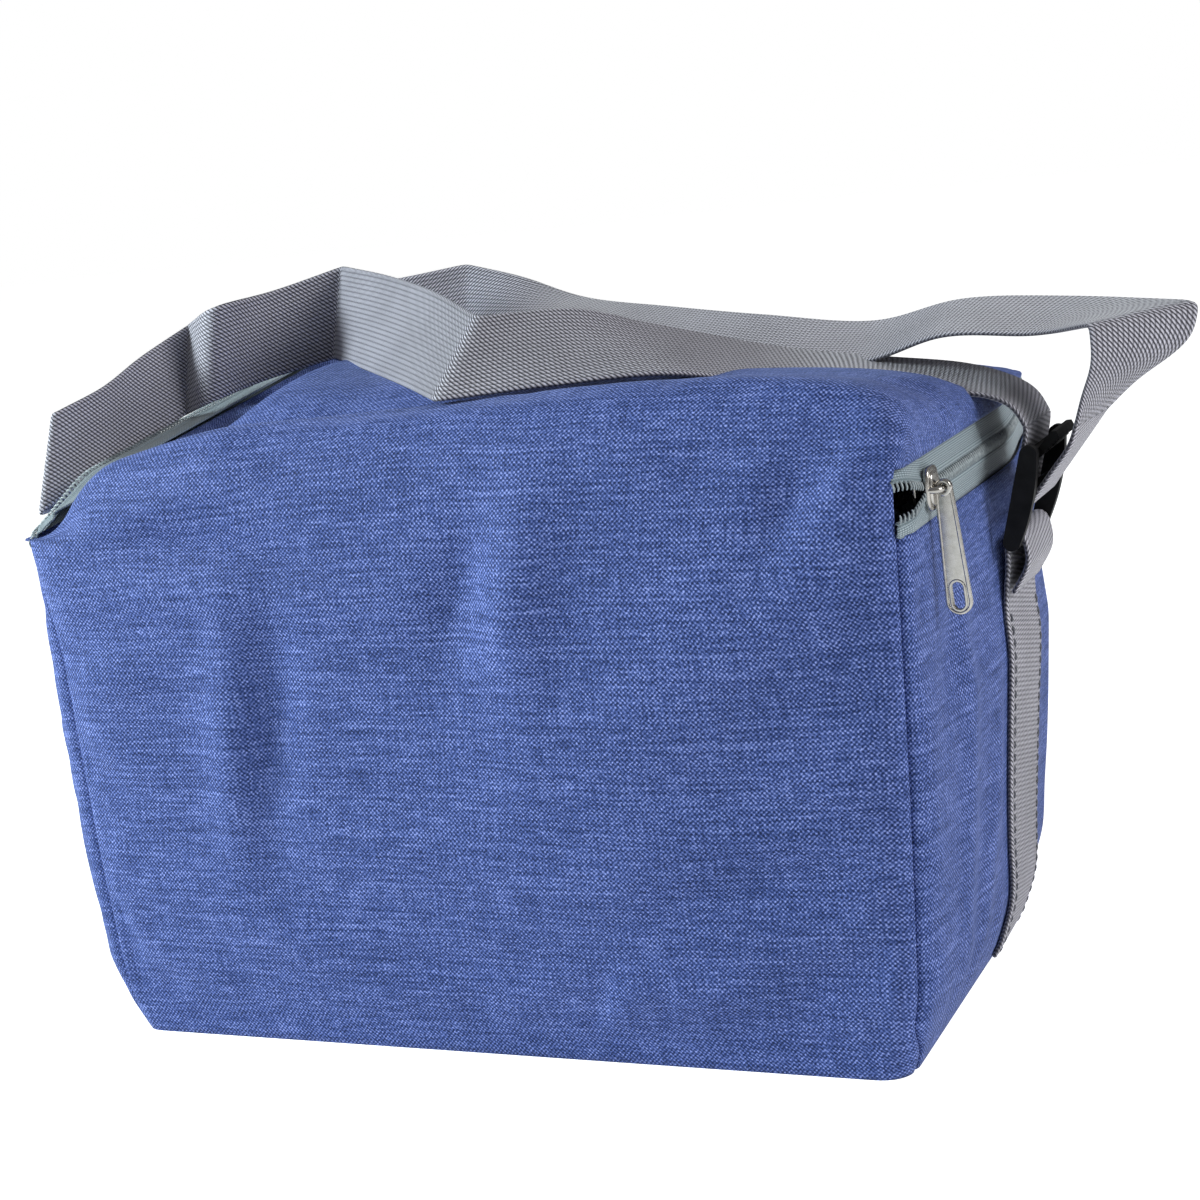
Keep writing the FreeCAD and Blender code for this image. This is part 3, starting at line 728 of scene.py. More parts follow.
def ring_outline(half_x, half_y, count=40):
    """Ellipse outline."""
    angles = np.linspace(0, 2 * math.pi, count + 1)[:-1]
    return [(half_x * math.cos(a), half_y * math.sin(a)) for a in angles]


CROWN_X = 139.6                 # the slider's crown bar, which the pull hangs from
CROWN_Z = ZIP_Z
BAIL_HALF = 3.4
BAIL_RADIUS = 0.85
# the slider's plates: half width, half height, squareness above and below the middle,
# thickness, rounding, place of the middle in X
SLIDER_PLATES = {
    "plate": (5.0, 5.8, 3.2, 2.6, 1.5, 0.6, HALF_X + 1.5),
    "dome": (3.7, 4.5, 3.0, 2.4, 1.4, 0.65, HALF_X + 2.1),
    "back": (4.6, 5.4, 3.0, 2.6, 1.2, 0.4, SLIDER_LOW[0] + 0.8),
}


def slider_body():
    """Slider of two shield-shaped plates joined by a neck, with a dome and a crown bar."""
    parts = []
    for name, (half_x, half_y, above, below, thickness, rounding, x) in SLIDER_PLATES.items():
        part = flat_part(name, [shield(half_x, half_y, above, below)], thickness, rounding)
        parts.append(shift(part, x, SLIDER_Y, CROWN_Z))
    neck = flat_part("neck", [ring_outline(1.0, 0.55, 16)], 4.0, 0.1)
    shift(neck, HALF_X - 0.2, SLIDER_Y + 4.0, CROWN_Z)
    half = [(HALF_X + 1.6, BAIL_HALF + 0.7), (CROWN_X - 1.0, BAIL_HALF + 0.3), (CROWN_X, BAIL_HALF - 0.8)]
    bar = [(x, SLIDER_Y - y, CROWN_Z) for x, y in half] + [(CROWN_X, SLIDER_Y, CROWN_Z)]
    bar += [(x, SLIDER_Y + y, CROWN_Z) for x, y in half[::-1]]
    return join("zip_slider_body", parts + [neck, tube("bail", bar, BAIL_RADIUS)])


PULL_NECK = (2.5, -5.5)         # half width of the pull below its head, and how far below
PULL_HEAD = 2.2                 # radii of the pull's two ends
PULL_FOOT = 3.4
HOLE_R = 1.5
HOLE_HALF = 2.0                 # half the straight part of the hole in the pull


def pull():
    """Flat pull hanging from the crown bar, its faces across Y."""
    foot = PULL_LOW[2] - CROWN_Z + PULL_FOOT
    neck_x, neck_z = PULL_NECK

    def outline(inset):
        low, head = PULL_FOOT - inset, PULL_HEAD - inset
        pts = [(-neck_x + inset, neck_z)]
        pts += [(-low * math.cos(a), foot - low * math.sin(a)) for a in np.linspace(0, math.pi, 25)]
        pts += [(neck_x - inset, neck_z)]
        pts += [(head * math.cos(a), head * math.sin(a)) for a in np.linspace(0, math.pi, 17)]
        return pts[::-1]

    def hole(grow):
        middle, r = foot + 1.6, HOLE_R + grow
        return [(r * math.cos(a), middle + math.copysign(HOLE_HALF, math.sin(a)) + r * math.sin(a))
                for a in np.linspace(0, 2 * math.pi, 41)[:-1]]

    eye = ring_outline(0.98, 0.98)
    parts = [flat_part("plate", [outline(0.0), hole(0.0), eye], 1.0, 0.25),
             flat_part("rim", [outline(0.0), outline(0.8)], 1.6, 0.3),
             flat_part("collar", [hole(0.8), hole(0.0)], 1.5, 0.25),
             flat_part("head", [ring_outline(2.25, 2.25), eye], 2.1, 0.45)]
    obj = join("zip_pull_tab", parts)
    obj.data.transform(Matrix.Rotation(-math.pi / 2, 4, "Z"))
    obj.data.transform(Matrix.Rotation(math.radians(-3.0), 4, "Y"))
    return shift(obj, CROWN_X, SLIDER_Y, CROWN_Z)


STITCH = 2.6
STITCH_GAP = 1.1
THREAD_RADIUS = 0.3
# one stitch: share of its length, height above the cloth
STITCH_BEND = [(0.0, -0.25), (0.15, 0.1), (0.5, 0.2), (0.85, 0.1), (1.0, -0.25)]


def stitches(name, runs):
    """Rows of sewing stitches: short rounded bars sunk at both ends, along polylines whose
    points carry their surface normals."""
    verts, faces = [], []
    for points, normals in runs:
        s = distances(points)
        start = 0.5
        while start + STITCH < s[-1]:
            faces += rod_faces(len(verts), len(STITCH_BEND), ROD_SIDES)
            for share, lift in STITCH_BEND:
                at = start + share * STITCH
                spot = at_distance(points, s, at)
                n = at_distance(normals, s, at)
                n /= np.linalg.norm(n)
                ahead = at_distance(points, s, at + 0.5) - spot
                ahead /= max(np.linalg.norm(ahead), 1e-6)
                verts += rod_ring(spot + n * lift, THREAD_RADIUS, np.cross(n, ahead), n)
            start += STITCH + STITCH_GAP
    return new_object(name, np.array(verts), faces, np.array(verts)[:, :2])


# ---- soft goods -----------------------------------------------------------------
# broad dents and folds of the near panel: x, z, half length along, half width across,
# angle in degrees from X, height
NEAR_FOLDS = [
    (50, 76, 84, 44, 90, 4.6),
    (92, 124, 62, 20, 36, 3.4),
    (-62, 137, 62, 8, -4, 3.0),
    (-72, 149, 56, 6, -10, -2.4),
    (-96, 158, 34, 6, 14, 2.6),
    (28, 138, 24, 10, 72, 3.8),
    (13, 134, 18, 9, 66, -3.6),
    (30, 112, 26, 9, 80, 2.0),
    (-68, 92, 32, 8, 84, 3.6),
    (-53, 100, 36, 8, 80, -2.8),
    (-108, 112, 20, 7, 8, 3.0),
    (-108, 92, 24, 7, -28, 2.2),
    (104, 150, 20, 6, 60, -2.0),
    (112, 84, 22, 5, -14, 2.2),
    (98, 69, 32, 5, -6, 1.9),
    (78, 52, 40, 8, 16, -2.0),
    (-20, 66, 46, 9, -10, 1.6),
    (-60, 36, 40, 8, -16, 1.8),
    (20, 30, 60, 7, 4, -1.4),
    (70, 22, 40, 6, -8, 1.8),
]
SIDE_FOLDS = [
    (-52, 70, 56, 5, 84, 2.2),
    (-34, 44, 46, 5, 72, 1.8),
    (-60, 108, 26, 6, 60, -1.0),
    (44, 62, 50, 6, 96, 1.8),
    (10, 20, 40, 6, 12, 1.0),
    (-20, 118, 30, 6, -20, 1.2),
]


def folds_at(folds, u, v):
    """Height of the listed folds over surface coordinates u, v."""
    total = np.zeros_like(u)
    for x, z, long, wide, angle, height in folds:
        c, q = math.cos(math.radians(angle)), math.sin(math.radians(angle))
        a = (u - x) * c + (v - z) * q
        b = -(u - x) * q + (v - z) * c
        total = total + height * np.exp(-(a / long) ** 2 - (b / wide) ** 2)
    return total


def off_edges(count, margin):
    """Weights along a row of points that fade to nothing within a margin of both ends."""
    share = np.linspace(0, 1, count)
    return smooth(0.0, margin, share) * smooth(1.0, 1.0 - margin, share)


def crumple(grid, folds, mirror=1.0):
    """Add the listed folds, fading out towards the sewn edges."""
    rows, cols = grid.shape[:2]
    facing_y = abs(outward(grid)[rows // 3, cols // 2][1]) > 0.7
    across = grid[..., 0 if facing_y else 1]
    fade = off_edges(rows, 0.08)[:, None] * off_edges(cols, 0.07)[None, :]
    lift = folds_at(folds, across * mirror, grid[..., 2]) * fade
    return grid + outward(grid) * lift[..., None]


PILLOW_IN = 0.9                 # the cloth may sink in this far from its laid out shape
PILLOW_OUT = 1.3                # and stand out this far
LID_PILLOW = 0.8                # less on the lid, where the strap lies
CLOTH = dict(quality=5, mass=0.15, tension_stiffness=12, compression_stiffness=8, shear_stiffness=5,
             bending_stiffness=1.2, use_pressure=True, uniform_pressure_force=1.6, shrink_min=-0.012)
CLOTH_FRAMES = 20


def pin_edges(obj, rows, cols):
    """Vertex group that holds the grid's rim: its two outer rings fully, the third by half."""
    pinned = obj.vertex_groups.new(name="sewn")
    for j in range(rows):
        for i in range(cols):
            rim = min(j, i, rows - 1 - j, cols - 1 - i)
            if rim < 3:
                pinned.add([j * cols + i], 1.0 if rim < 2 else 0.5, "REPLACE")


def inflate(obj, grid, hold):
    """Let the cloth settle between its sewn edges with air behind it, then keep how far
    it moved in or out as the mesh. Both are capped, and where held no point moves out."""
    rows, cols = grid.shape[:2]
    pin_edges(obj, rows, cols)
    cloth = obj.modifiers.new("cloth", "CLOTH")
    for key, value in CLOTH.items():
        setattr(cloth.settings, key, value)
    cloth.settings.vertex_group_mass = "sewn"
    cloth.settings.effector_weights.gravity = 0.0
    scene = bpy.context.scene
    for number in range(1, CLOTH_FRAMES + 1):
        scene.frame_set(number)
    graph = bpy.context.evaluated_depsgraph_get()
    moved = obj.evaluated_get(graph).to_mesh()
    after = np.zeros(rows * cols * 3, np.float32)
    moved.vertices.foreach_get("co", after)
    obj.evaluated_get(graph).to_mesh_clear()
    obj.modifiers.remove(cloth)
    scene.frame_set(1)
    step = after.reshape(rows, cols, 3) / MM - grid
    normal = outward(grid)
    out = np.sum(step * normal, axis=2)[..., None]
    room = PILLOW_OUT + (LID_PILLOW - PILLOW_OUT) * smooth(155.0, 175.0, grid[..., 2])[..., None]
    if hold is not None:
        room = room * (1.0 - hold[..., None])
    placed = grid + normal * np.clip(out, -PILLOW_IN, room)
    obj.data.vertices.foreach_set("co", (placed.reshape(-1) * MM).astype(np.float32))
    obj.data.update()


def cloth_panel(name, grid, material, flip=False, hold=None):
    """One sewn panel of outer fabric: settled, smoothed and given its thickness."""
    obj = paint(grid_object(name, grid, flip), material)
    inflate(obj, grid, hold)
    modify(obj, "SUBSURF", levels=1, render_levels=1)
    modify(obj, "SOLIDIFY", thickness=0.7 * MM, offset=0.0)
    apply_all(obj)
    return obj


# ---- materials ---------------------------------------------------------------
class Shader:
    """Makes and joins the nodes of one material. Lengths are in millimetres."""

    def __init__(self, name):
        self.mat = bpy.data.materials.new(name)
        self.mat.use_nodes = True
        self.tree = self.mat.node_tree
        self.bsdf = self.tree.nodes["Principled BSDF"]

    def put(self, socket, value):
        """Feed a socket from another node or with a plain value."""
        if isinstance(value, bpy.types.NodeSocket):
            self.tree.links.new(value, socket)
        else:
            socket.default_value = value

    def node(self, kind, inputs, **settings):
        made = self.tree.nodes.new("ShaderNode" + kind)
        for key, value in settings.items():
            setattr(made, key, value)
        for key, value in inputs.items():
            self.put(made.inputs[key], value)
        return made

    def math(self, operation, a, b=0.0, c=0.0):
        return self.node("Math", {0: a, 1: b, 2: c}, operation=operation).outputs[0]

    def blend(self, value, factor, base):
        """value * factor + base"""
        return self.math("MULTIPLY_ADD", value, factor, base)

    def weave_uv(self):
        """Surface coordinates in millimetres."""
        return self.node("UVMap", {}, uv_map="weave").outputs[0]

    def place(self):
        """Object coordinates in millimetres."""
        raw = self.node("TexCoord", {}).outputs["Object"]
        return self.scaled(raw, (1000, 1000, 1000))

    def scaled(self, vector, scale):
        return self.node("VectorMath", {0: vector, 1: scale}, operation="MULTIPLY").outputs[0]

    def split(self, vector):
        made = self.node("SeparateXYZ", {0: vector})
        return made.outputs[0], made.outputs[1]

    def noise(self, vector, scale, detail, distortion=0.0):
        inputs = {"Vector": self.scaled(vector, scale), "Scale": 1.0, "Detail": detail,
                  "Distortion": distortion}
        return self.node("TexNoise", inputs).outputs[0]

    def ramp(self, value, stops):
        made = self.node("ValToRGB", {0: value})
        items = made.color_ramp.elements
        while len(items) < len(stops):
            items.new(0.5)
        for item, (position, color) in zip(items, stops):
            item.position = position
            item.color = (*color, 1.0)
        return made.outputs[0]

    def tint(self, a, b):
        """Colour a multiplied by colour b."""
        made = self.node("Mix", {0: 1.0, 6: a, 7: b}, data_type="RGBA", blend_type="MULTIPLY")
        return made.outputs[2]

    def bump(self, height, millimetres, strength):
        inputs = {"Height": height, "Distance": millimetres * MM, "Strength": strength}
        return self.node("Bump", inputs).outputs[0]

    def finish(self, **inputs):
        """Set the surface's inputs, named with _ for a space."""
        for key, value in inputs.items():
            self.put(self.bsdf.inputs[key.replace("_", " ")], value)
        return self.mat


def grey(level):
    return (level, level, level)


def thread_wave(s, value, pitch):
    """-1..1 over threads that lie pitch apart."""
    return s.math("SINE", s.math("MULTIPLY", value, math.pi / pitch))


THREAD_PITCH = 0.66             # of the blue fabric


def fabric_material():
    """Plain woven polyester: pale warp over a weft of two tones, uneven thread by thread."""
    s = Shader("blue_melange")
    uv = s.weave_uv()
    shake = s.node("TexNoise", {"Vector": uv, "Scale": 0.35}).outputs[1]
    moved = {0: uv, 1: s.scaled(shake, (0.6, 0.6, 0.0))}
    u, v = s.split(s.node("VectorMath", moved, operation="ADD").outputs[0])
    over = s.math("MULTIPLY", thread_wave(s, u, THREAD_PITCH), thread_wave(s, v, THREAD_PITCH))
    knots = s.noise(uv, (1.5, 1.5, 1.0), 1.0)
    weft_slub = s.noise(uv, (0.12, 1.25, 1.0), 2.0)
    long_slub = s.noise(uv, (0.018, 0.8, 1.0), 1.0)
    warp_slub = s.noise(uv, (1.25, 0.09, 1.0), 2.0)
    cloud = s.noise(uv, (0.03, 0.05, 1.0), 3.0)
    tone = s.blend(over, 0.42, 0.5)
    weights = ((knots, 1.2), (weft_slub, 0.7), (long_slub, 0.45), (warp_slub, 0.5), (cloud, 0.2))
    for noise, weight in weights:
        tone = s.math("ADD", tone, s.blend(noise, weight, -0.5 * weight))
    color = s.ramp(tone, [(0.0, (0.003, 0.013, 0.066)), (0.3, (0.018, 0.040, 0.155)),
                          (0.55, (0.050, 0.087, 0.278)), (0.8, (0.126, 0.182, 0.475)),
                          (1.0, (0.28, 0.35, 0.74))])
    height = s.blend(over, 0.5, s.math("MULTIPLY", weft_slub, 0.6))
    return s.finish(Base_Color=color, Roughness=s.blend(knots, 0.25, 0.62), Normal=s.bump(height, 0.22, 0.7),
                    Sheen_Weight=0.12, Sheen_Roughness=0.4, Sheen_Tint=(0.6, 0.7, 1.0, 1.0),
                    Specular_IOR_Level=0.25)


def webbing_material():
    """Ribbed webbing: slanted stitches in rows along its length, its grey with painted shade that goes near
    black in the grooves between ribs and stitches.
    """
    s = Shader("grey_webbing")
    uv = s.weave_uv()
    u, v = s.split(uv)
    rib = s.math("ABSOLUTE", thread_wave(s, u, RIB_PITCH))
    stitch = s.blend(thread_wave(s, s.blend(u, 1.15, v), 0.68), 0.5, 0.5)
    height = s.math("MULTIPLY", s.blend(rib, 0.85, 0.2), stitch)
    fuzz = s.noise(uv, (3.0, 1.2, 1.0), 2.0)
    drift = s.noise(uv, (0.05, 0.03, 1.0), 2.0)
    tone = s.math("ADD", height, s.blend(fuzz, 0.5, -0.25))
    # painted shade: the colour follows the rib and stitch height, from near black in the grooves to the grey
    # of the raised yarn
    groove_shade, light = (0.026, 0.025, 0.036), (0.60, 0.59, 0.67)
    middle = tuple((a + b) / 2 for a, b in zip(groove_shade, light))
    color = s.ramp(tone, [(0.05, groove_shade), (0.35, middle), (0.85, light)])
    color = s.tint(color, s.ramp(drift, [(0.3, grey(0.88)), (0.7, grey(1.08))]))
    return s.finish(Base_Color=color, Roughness=s.blend(fuzz, 0.3, 0.5), Normal=s.bump(tone, 0.35, 0.8),
                    Sheen_Weight=0.3, Sheen_Roughness=0.4, Specular_IOR_Level=0.4)


def tape_material():
    """Knitted zip tape: fine rows along the zip with short cross stitches, its teal-grey with painted shade
    that darkens the low grooves between them.
    """
    s = Shader("zip_tape_knit")
    uv = s.weave_uv()
    u, v = s.split(uv)
    row = s.math("ABSOLUTE", thread_wave(s, v, 0.55))
    cross = s.blend(thread_wave(s, s.blend(v, 0.6, u), 0.5), 0.5, 0.5)
    height = s.math("MULTIPLY", row, s.blend(cross, 0.6, 0.4))
    fuzz = s.noise(uv, (1.5, 1.5, 1.0), 2.0)
    tone = s.blend(height, 0.7, s.math("MULTIPLY", fuzz, 0.3))
    # painted shade: the colour follows the knit's height, darkest in the grooves between rows
    color = s.ramp(tone, [(0.1, (0.055, 0.085, 0.10)), (0.45, (0.17, 0.225, 0.255)),
                          (0.85, (0.38, 0.46, 0.50))])
    return s.finish(Base_Color=color, Roughness=s.blend(fuzz, 0.25, 0.55), Normal=s.bump(tone, 0.25, 0.8),
                    Sheen_Weight=0.25)


def metal_material():
    """Nickel plate, a little hazy and scratched."""
    s = Shader("nickel_plate")
    at = s.place()
    haze = s.noise(at, (0.6, 0.6, 0.6), 3.0)
    scratch = s.noise(at, (0.5, 6.0, 0.7), 2.0)
    rough = s.blend(haze, 0.12, s.blend(scratch, 0.08, 0.12))
    color = s.ramp(haze, [(0.3, (0.42, 0.40, 0.37)), (0.7, (0.56, 0.54, 0.51))])
    return s.finish(Base_Color=color, Metallic=1.0, Roughness=rough, Normal=s.bump(scratch, 0.01, 0.3))


def plastic_material():
    """Moulded black plastic with a fine grain and scuffs."""
    s = Shader("moulded_black")
    at = s.place()
    grain = s.noise(at, (4.0, 4.0, 4.0), 3.0)
    scuff = s.noise(at, (0.25, 0.25, 0.25), 3.0)
    color = s.ramp(scuff, [(0.3, (0.004, 0.004, 0.0042)), (0.75, (0.011, 0.011, 0.012))])
    return s.finish(Base_Color=color, Roughness=s.blend(scuff, 0.3, 0.4), Specular_IOR_Level=0.12,
                    Normal=s.bump(grain, 0.05, 0.6))


def teeth_material():
    """Grey nylon of the zip's coil."""
    s = Shader("coil_nylon")
    at = s.place()
    tone = s.noise(at, (0.8, 0.8, 0.8), 2.0)
    color = s.ramp(tone, [(0.3, (0.17, 0.20, 0.215)), (0.7, (0.34, 0.39, 0.41))])
    return s.finish(Base_Color=color, Roughness=s.blend(tone, 0.2, 0.25))


def foam_material():
    """White foam with small closed cells."""
    s = Shader("closed_cell_foam")
    at = s.place()
    cells = s.node("TexVoronoi", {"Vector": at, "Scale": 0.9}).outputs[0]
    color = s.ramp(cells, [(0.0, (0.62, 0.62, 0.60)), (0.6, (0.86, 0.86, 0.84))])
    return s.finish(Base_Color=color, Roughness=0.7, Normal=s.bump(cells, 0.4, 0.6))


def foil_material():
    """Crinkled silver film."""
    s = Shader("silver_film")
    at = s.place()
    crease = s.node("TexVoronoi", {"Vector": at, "Scale": 0.09}, feature="DISTANCE_TO_EDGE").outputs[0]
    ripple = s.noise(at, (0.12, 0.12, 0.12), 5.0, 0.8)
    height = s.blend(crease, 0.5, ripple)
    color = s.ramp(ripple, [(0.3, (0.52, 0.55, 0.58)), (0.7, (0.80, 0.82, 0.84))])
    return s.finish(Base_Color=color, Metallic=0.85, Roughness=s.blend(ripple, 0.3, 0.16),
                    Normal=s.bump(height, 1.2, 0.7))


def thread_material():
    """Dark twisted sewing thread."""
    s = Shader("sewing_thread")
    at = s.place()
    twist = s.noise(at, (2.5, 2.5, 2.5), 2.0)
    color = s.ramp(twist, [(0.3, (0.05, 0.052, 0.065)), (0.7, (0.14, 0.145, 0.17))])
    return s.finish(Base_Color=color, Roughness=0.55, Normal=s.bump(twist, 0.1, 0.6))


FLOOR_GLOW = 0.80               # what the camera sees of the floor's own light
FLOOR_FILL = 0.30               # what the bag gets of it


def paper_material():
    """Pale studio paper that glows a little more for the camera than for the bag."""
    s = Shader("studio_paper")
    at = s.place()
    tooth = s.noise(at, (0.02, 0.02, 0.02), 3.0)
    color = s.ramp(tooth, [(0.3, (0.86, 0.865, 0.87)), (0.7, (0.88, 0.885, 0.89))])
    seen = s.node("LightPath", {}).outputs["Is Camera Ray"]
    glow = s.blend(seen, FLOOR_GLOW - FLOOR_FILL, FLOOR_FILL)
    return s.finish(Base_Color=color, Roughness=0.9, Emission_Color=(1.0, 1.0, 1.0, 1.0),
                    Emission_Strength=glow)


def paint(obj, mat):
    """Give the object one material."""
    obj.data.materials.clear()
    obj.data.materials.append(mat)
    return obj


BLUE = fabric_material()
WEB = webbing_material()
TAPE = tape_material()
TEETH = teeth_material()
METAL = metal_material()
PLASTIC = plastic_material()
FOAM = foam_material()
FOIL = foil_material()
THREAD = thread_material()


def place_on(obj, body, slot, *nodes):
    """Put a piece on a body in place of the CAD nodes it stands for; the slot argument is not used."""
    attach(obj, body)
    if nodes:
        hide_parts(*nodes)
    return obj


# ---- bag and lid cloth ---------------------------------------------------------
smooth_cover = cover_grid()
# the folds belong to the near panel, so the top of the lid stays as it is
on_top = smooth(150.0, 168.0, smooth_cover[..., 2]) * smooth(-80.0, -60.0, smooth_cover[..., 1])
on_top = on_top[..., None]
cover_shape = crumple(smooth_cover, NEAR_FOLDS) * (1 - on_top) + smooth_cover * on_top
cover = cloth_panel("cover_cloth", cover_shape, BLUE)
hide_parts("rear_panel", "lid_panel")

WALL_HEIGHTS = np.linspace(0.0, TAPE_LOW, 36)
PANELS = {"left": ("left_side_panel", SIDE_FOLDS), "right": ("right_side_panel", SIDE_FOLDS),
          "far": ("front_panel", NEAR_FOLDS)}
for side, (node, folds) in PANELS.items():
    plain = warp(wall_grid(side, WALL_HEIGHTS))
    shape = crumple(plain, folds, -1.0 if side == "far" else 1.0)
    held = None
    if side in ("left", "right"):
        # the webbing is sewn on along the middle, so the cloth under it stays flat
        held = smooth(26.0, 17.0, np.abs(plain[..., 1] - foot_drift(plain[..., 2])))
        shape = shape * (1 - held[..., None]) + plain * held[..., None]
    if side == "right":
        # and so does the cloth behind the webbing's far edge and where the zip pull hangs
        held = np.maximum(held, smooth(0.0, 20.0, plain[..., 1]))
        held = np.maximum(held, smooth(92.0, 108.0, plain[..., 2]))
    panel = cloth_panel(node + "_cloth", shape, BLUE, hold=held)
    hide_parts(node)
    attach(panel, "bag")
base_shape = base_grid() + [0.0, 0.0, 0.4]
base = cloth_panel("base_cloth", base_shape, BLUE, flip=True, hold=np.ones(base_shape.shape[:2]))
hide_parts("base_panel")
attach(base, "bag")

# ---- foam and liner -------------------------------------------------------------
FOAM_NODES = {"near": "foam_rear", "far": "foam_front", "left": "foam_left", "right": "foam_right"}
FOAM_DEPTHS = (2.2, 5.2)        # how far inside the outer cloth each face of a layer lies
LINER_DEPTHS = (5.6, 6.1)
LAYER_MARGIN = 3.0              # the walls' layers stop this far short of base and zip
FLOOR_SHARE = np.array([0.955, 0.94, 1.0])


def layer(name, grid, depths, mat):
    """Sheet between two depths inside the outer cloth."""
    normal = outward(grid)
    return paint(sheet_object(name, grid - normal * depths[0], grid - normal * depths[1]), mat)


def floor_layer(name, low, high, mat):
    """Sheet between two heights above the bottom panel."""
    grid = base_grid(49, 33) * FLOOR_SHARE
    return paint(sheet_object(name, grid + [0, 0, low], grid + [0, 0, high]), mat)


for side, node in FOAM_NODES.items():
    skin = warp(wall_grid(side, np.linspace(LAYER_MARGIN, TAPE_LOW - LAYER_MARGIN, 24), 33))
    place_on(layer(node + "_pad", skin, FOAM_DEPTHS, FOAM), "bag", "white_foam", node)
    film = layer("liner_" + side, skin, LINER_DEPTHS, FOIL)
    place_on(film, "bag", "silver_liner", *(["liner_tub"] if side == "near" else []))
place_on(floor_layer("foam_base_pad", 1.6, 4.8, FOAM), "bag", "white_foam", "foam_base")
place_on(floor_layer("liner_floor", 5.2, 5.7, FOIL), "bag", "silver_liner")
lid_skin = smooth_cover[NEAR_ROWS + 12:-4, 9:-9]    # clear of the hinge and of the lid's edges
place_on(layer("foam_lid_pad", lid_skin, FOAM_DEPTHS, FOAM), "lid", "white_foam", "foam_lid")
place_on(layer("liner_lid_film", lid_skin, LINER_DEPTHS, FOIL), "lid", "silver_liner", "liner_lid")

# ---- zip -------------------------------------------------------------------------
for side, body, word in ((-1, "bag", "lower"), (1, "lid", "upper")):
    tape = paint(zip_tape("zip_tape_" + word + "_knit", side), TAPE)
    modify(tape, "SUBSURF", levels=1, render_levels=1)
    modify(tape, "SOLIDIFY", thickness=0.5 * MM, offset=-1.0)
    apply_all(tape)
    place_on(tape, body, "zip_tape", "zip_tape_" + word)
    teeth = paint(zip_teeth("zip_teeth_" + word, side), TEETH)
    place_on(teeth, body, "zip_coil", "zip_coil_" + word)
place_on(paint(slider_body(), METAL), "slider", "nickel_metal", "zip_slider")
place_on(paint(pull(), METAL), "pull", "nickel_metal", "pull_tab")

# ---- webbing ----------------------------------------------------------------------
# heights at which the webbing on a side panel is laid out
WALL_POINTS = [2.5, 8.0, 22.0, 40.0, 55.0, 75.0, 95.0]
WEB_ROOM = 1.3                  # from a side panel to the middle of the webbing on it


def on_wall(side, y, z):
    """Distance from the bag's middle to the middle of webbing lying on a side panel."""
    return at_height(REACH, side, z) + swell(side, y / HALF_Y, z) + WEB_ROOM


def wall_band(side, heights):
    """Sections of webbing lying on a side panel, its foot drifting back."""
    sign = 1.0 if side == "right" else -1.0
    band = []
    for z in heights:
        ends = [foot_drift(z) - BAND_HALF, foot_drift(z) + BAND_HALF]
        band.append(warp([(sign * on_wall(side, y, z), y, z) for y in ends]))
    return band


def shares(sections, share):
    """The line that runs a fixed share of the way across the sections."""
    return [np.array(a) * (1 - share) + np.array(b) * share for a, b in sections]


BAR_TURN = 2.5                  # bend of the webbing round the buckle's lower bar
LOOP_Z = 121.0                  # the loop's legs come together below this
right_band = wall_band("right", WALL_POINTS + [108.0])
loop = [(BAR_X - BAR_TURN - 0.2, LOOP_Z)] + turn((BAR_X, BAR_Z), BAR_TURN, 180, 0)
loop += [(BAR_X + BAR_TURN + 0.4, LOOP_Z), (on_wall("right", 0.0, 111.0) + 1.9, 113.0)]
webbing_right = paint(ribbon_object("side_webbing_right_web", right_band + flat_band(loop), step=1.0), WEB)
place_on(webbing_right, "bag", "grey_webbing", "side_webbing_right")
left_band = wall_band("left", WALL_POINTS + [110.0])
webbing_left = ribbon_object("side_webbing_left_web", left_band + flat_band([(-141.6, 146.6)]))
place_on(paint(webbing_left, WEB), "bag", "grey_webbing", "side_webbing_left")


SEAM_INSET = 0.075              # share of the webbing's width outside each seam
SEAM_LIFT = 0.75                # from the middle of the webbing to its face


def edge_runs(sections, sign):
    """Stitch lines just inside both edges of a band lying on a side panel."""
    runs = []
    for share in (SEAM_INSET, 1.0 - SEAM_INSET):
        line = spline([p + [sign * SEAM_LIFT, 0.0, 0.0] for p in shares(sections, share)], 8)
        runs.append((line, np.tile([sign, 0.0, 0.0], (len(line), 1))))
    return runs


seam_stitches = edge_runs(right_band, 1.0) + edge_runs(left_band, -1.0)
place_on(paint(stitches("webbing_stitches", seam_stitches), THREAD), "bag", "grey_webbing")

# the strap comes down through the lock's upper slot, turns under its crossbar and goes up again
LEG = 2.55                      # from the crossbar's middle to the strap on either side
BAR_HEIGHT = 12.0               # the crossbar's height in the lock
under_bar = turn((0.0, BAR_HEIGHT), LEG, 0, -180)[1:]
threaded = [(9.6, 28.3), (6.0, 20.0), (LEG, BAR_HEIGHT)] + under_bar + [(-LEG, 20.0), (-LEG, 28.3)]
sections = [RUN_B[0]] + flat_band(lock_to_world(threaded), STRAP_HALF) + [RUN_A[-1]]
in_buckle = paint(ribbon_object("strap_in_buckle_web", sections, step=0.8), WEB)
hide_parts("strap_in_buckle")
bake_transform(in_buckle)

lock = frame["nodes"]["ladder_lock"]
for slot_item in lock.material_slots:
    slot_item.material = PLASTIC
modify(lock, "BEVEL", width=0.35 * MM, segments=3, limit_method="ANGLE", angle_limit=math.radians(40))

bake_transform(cover)

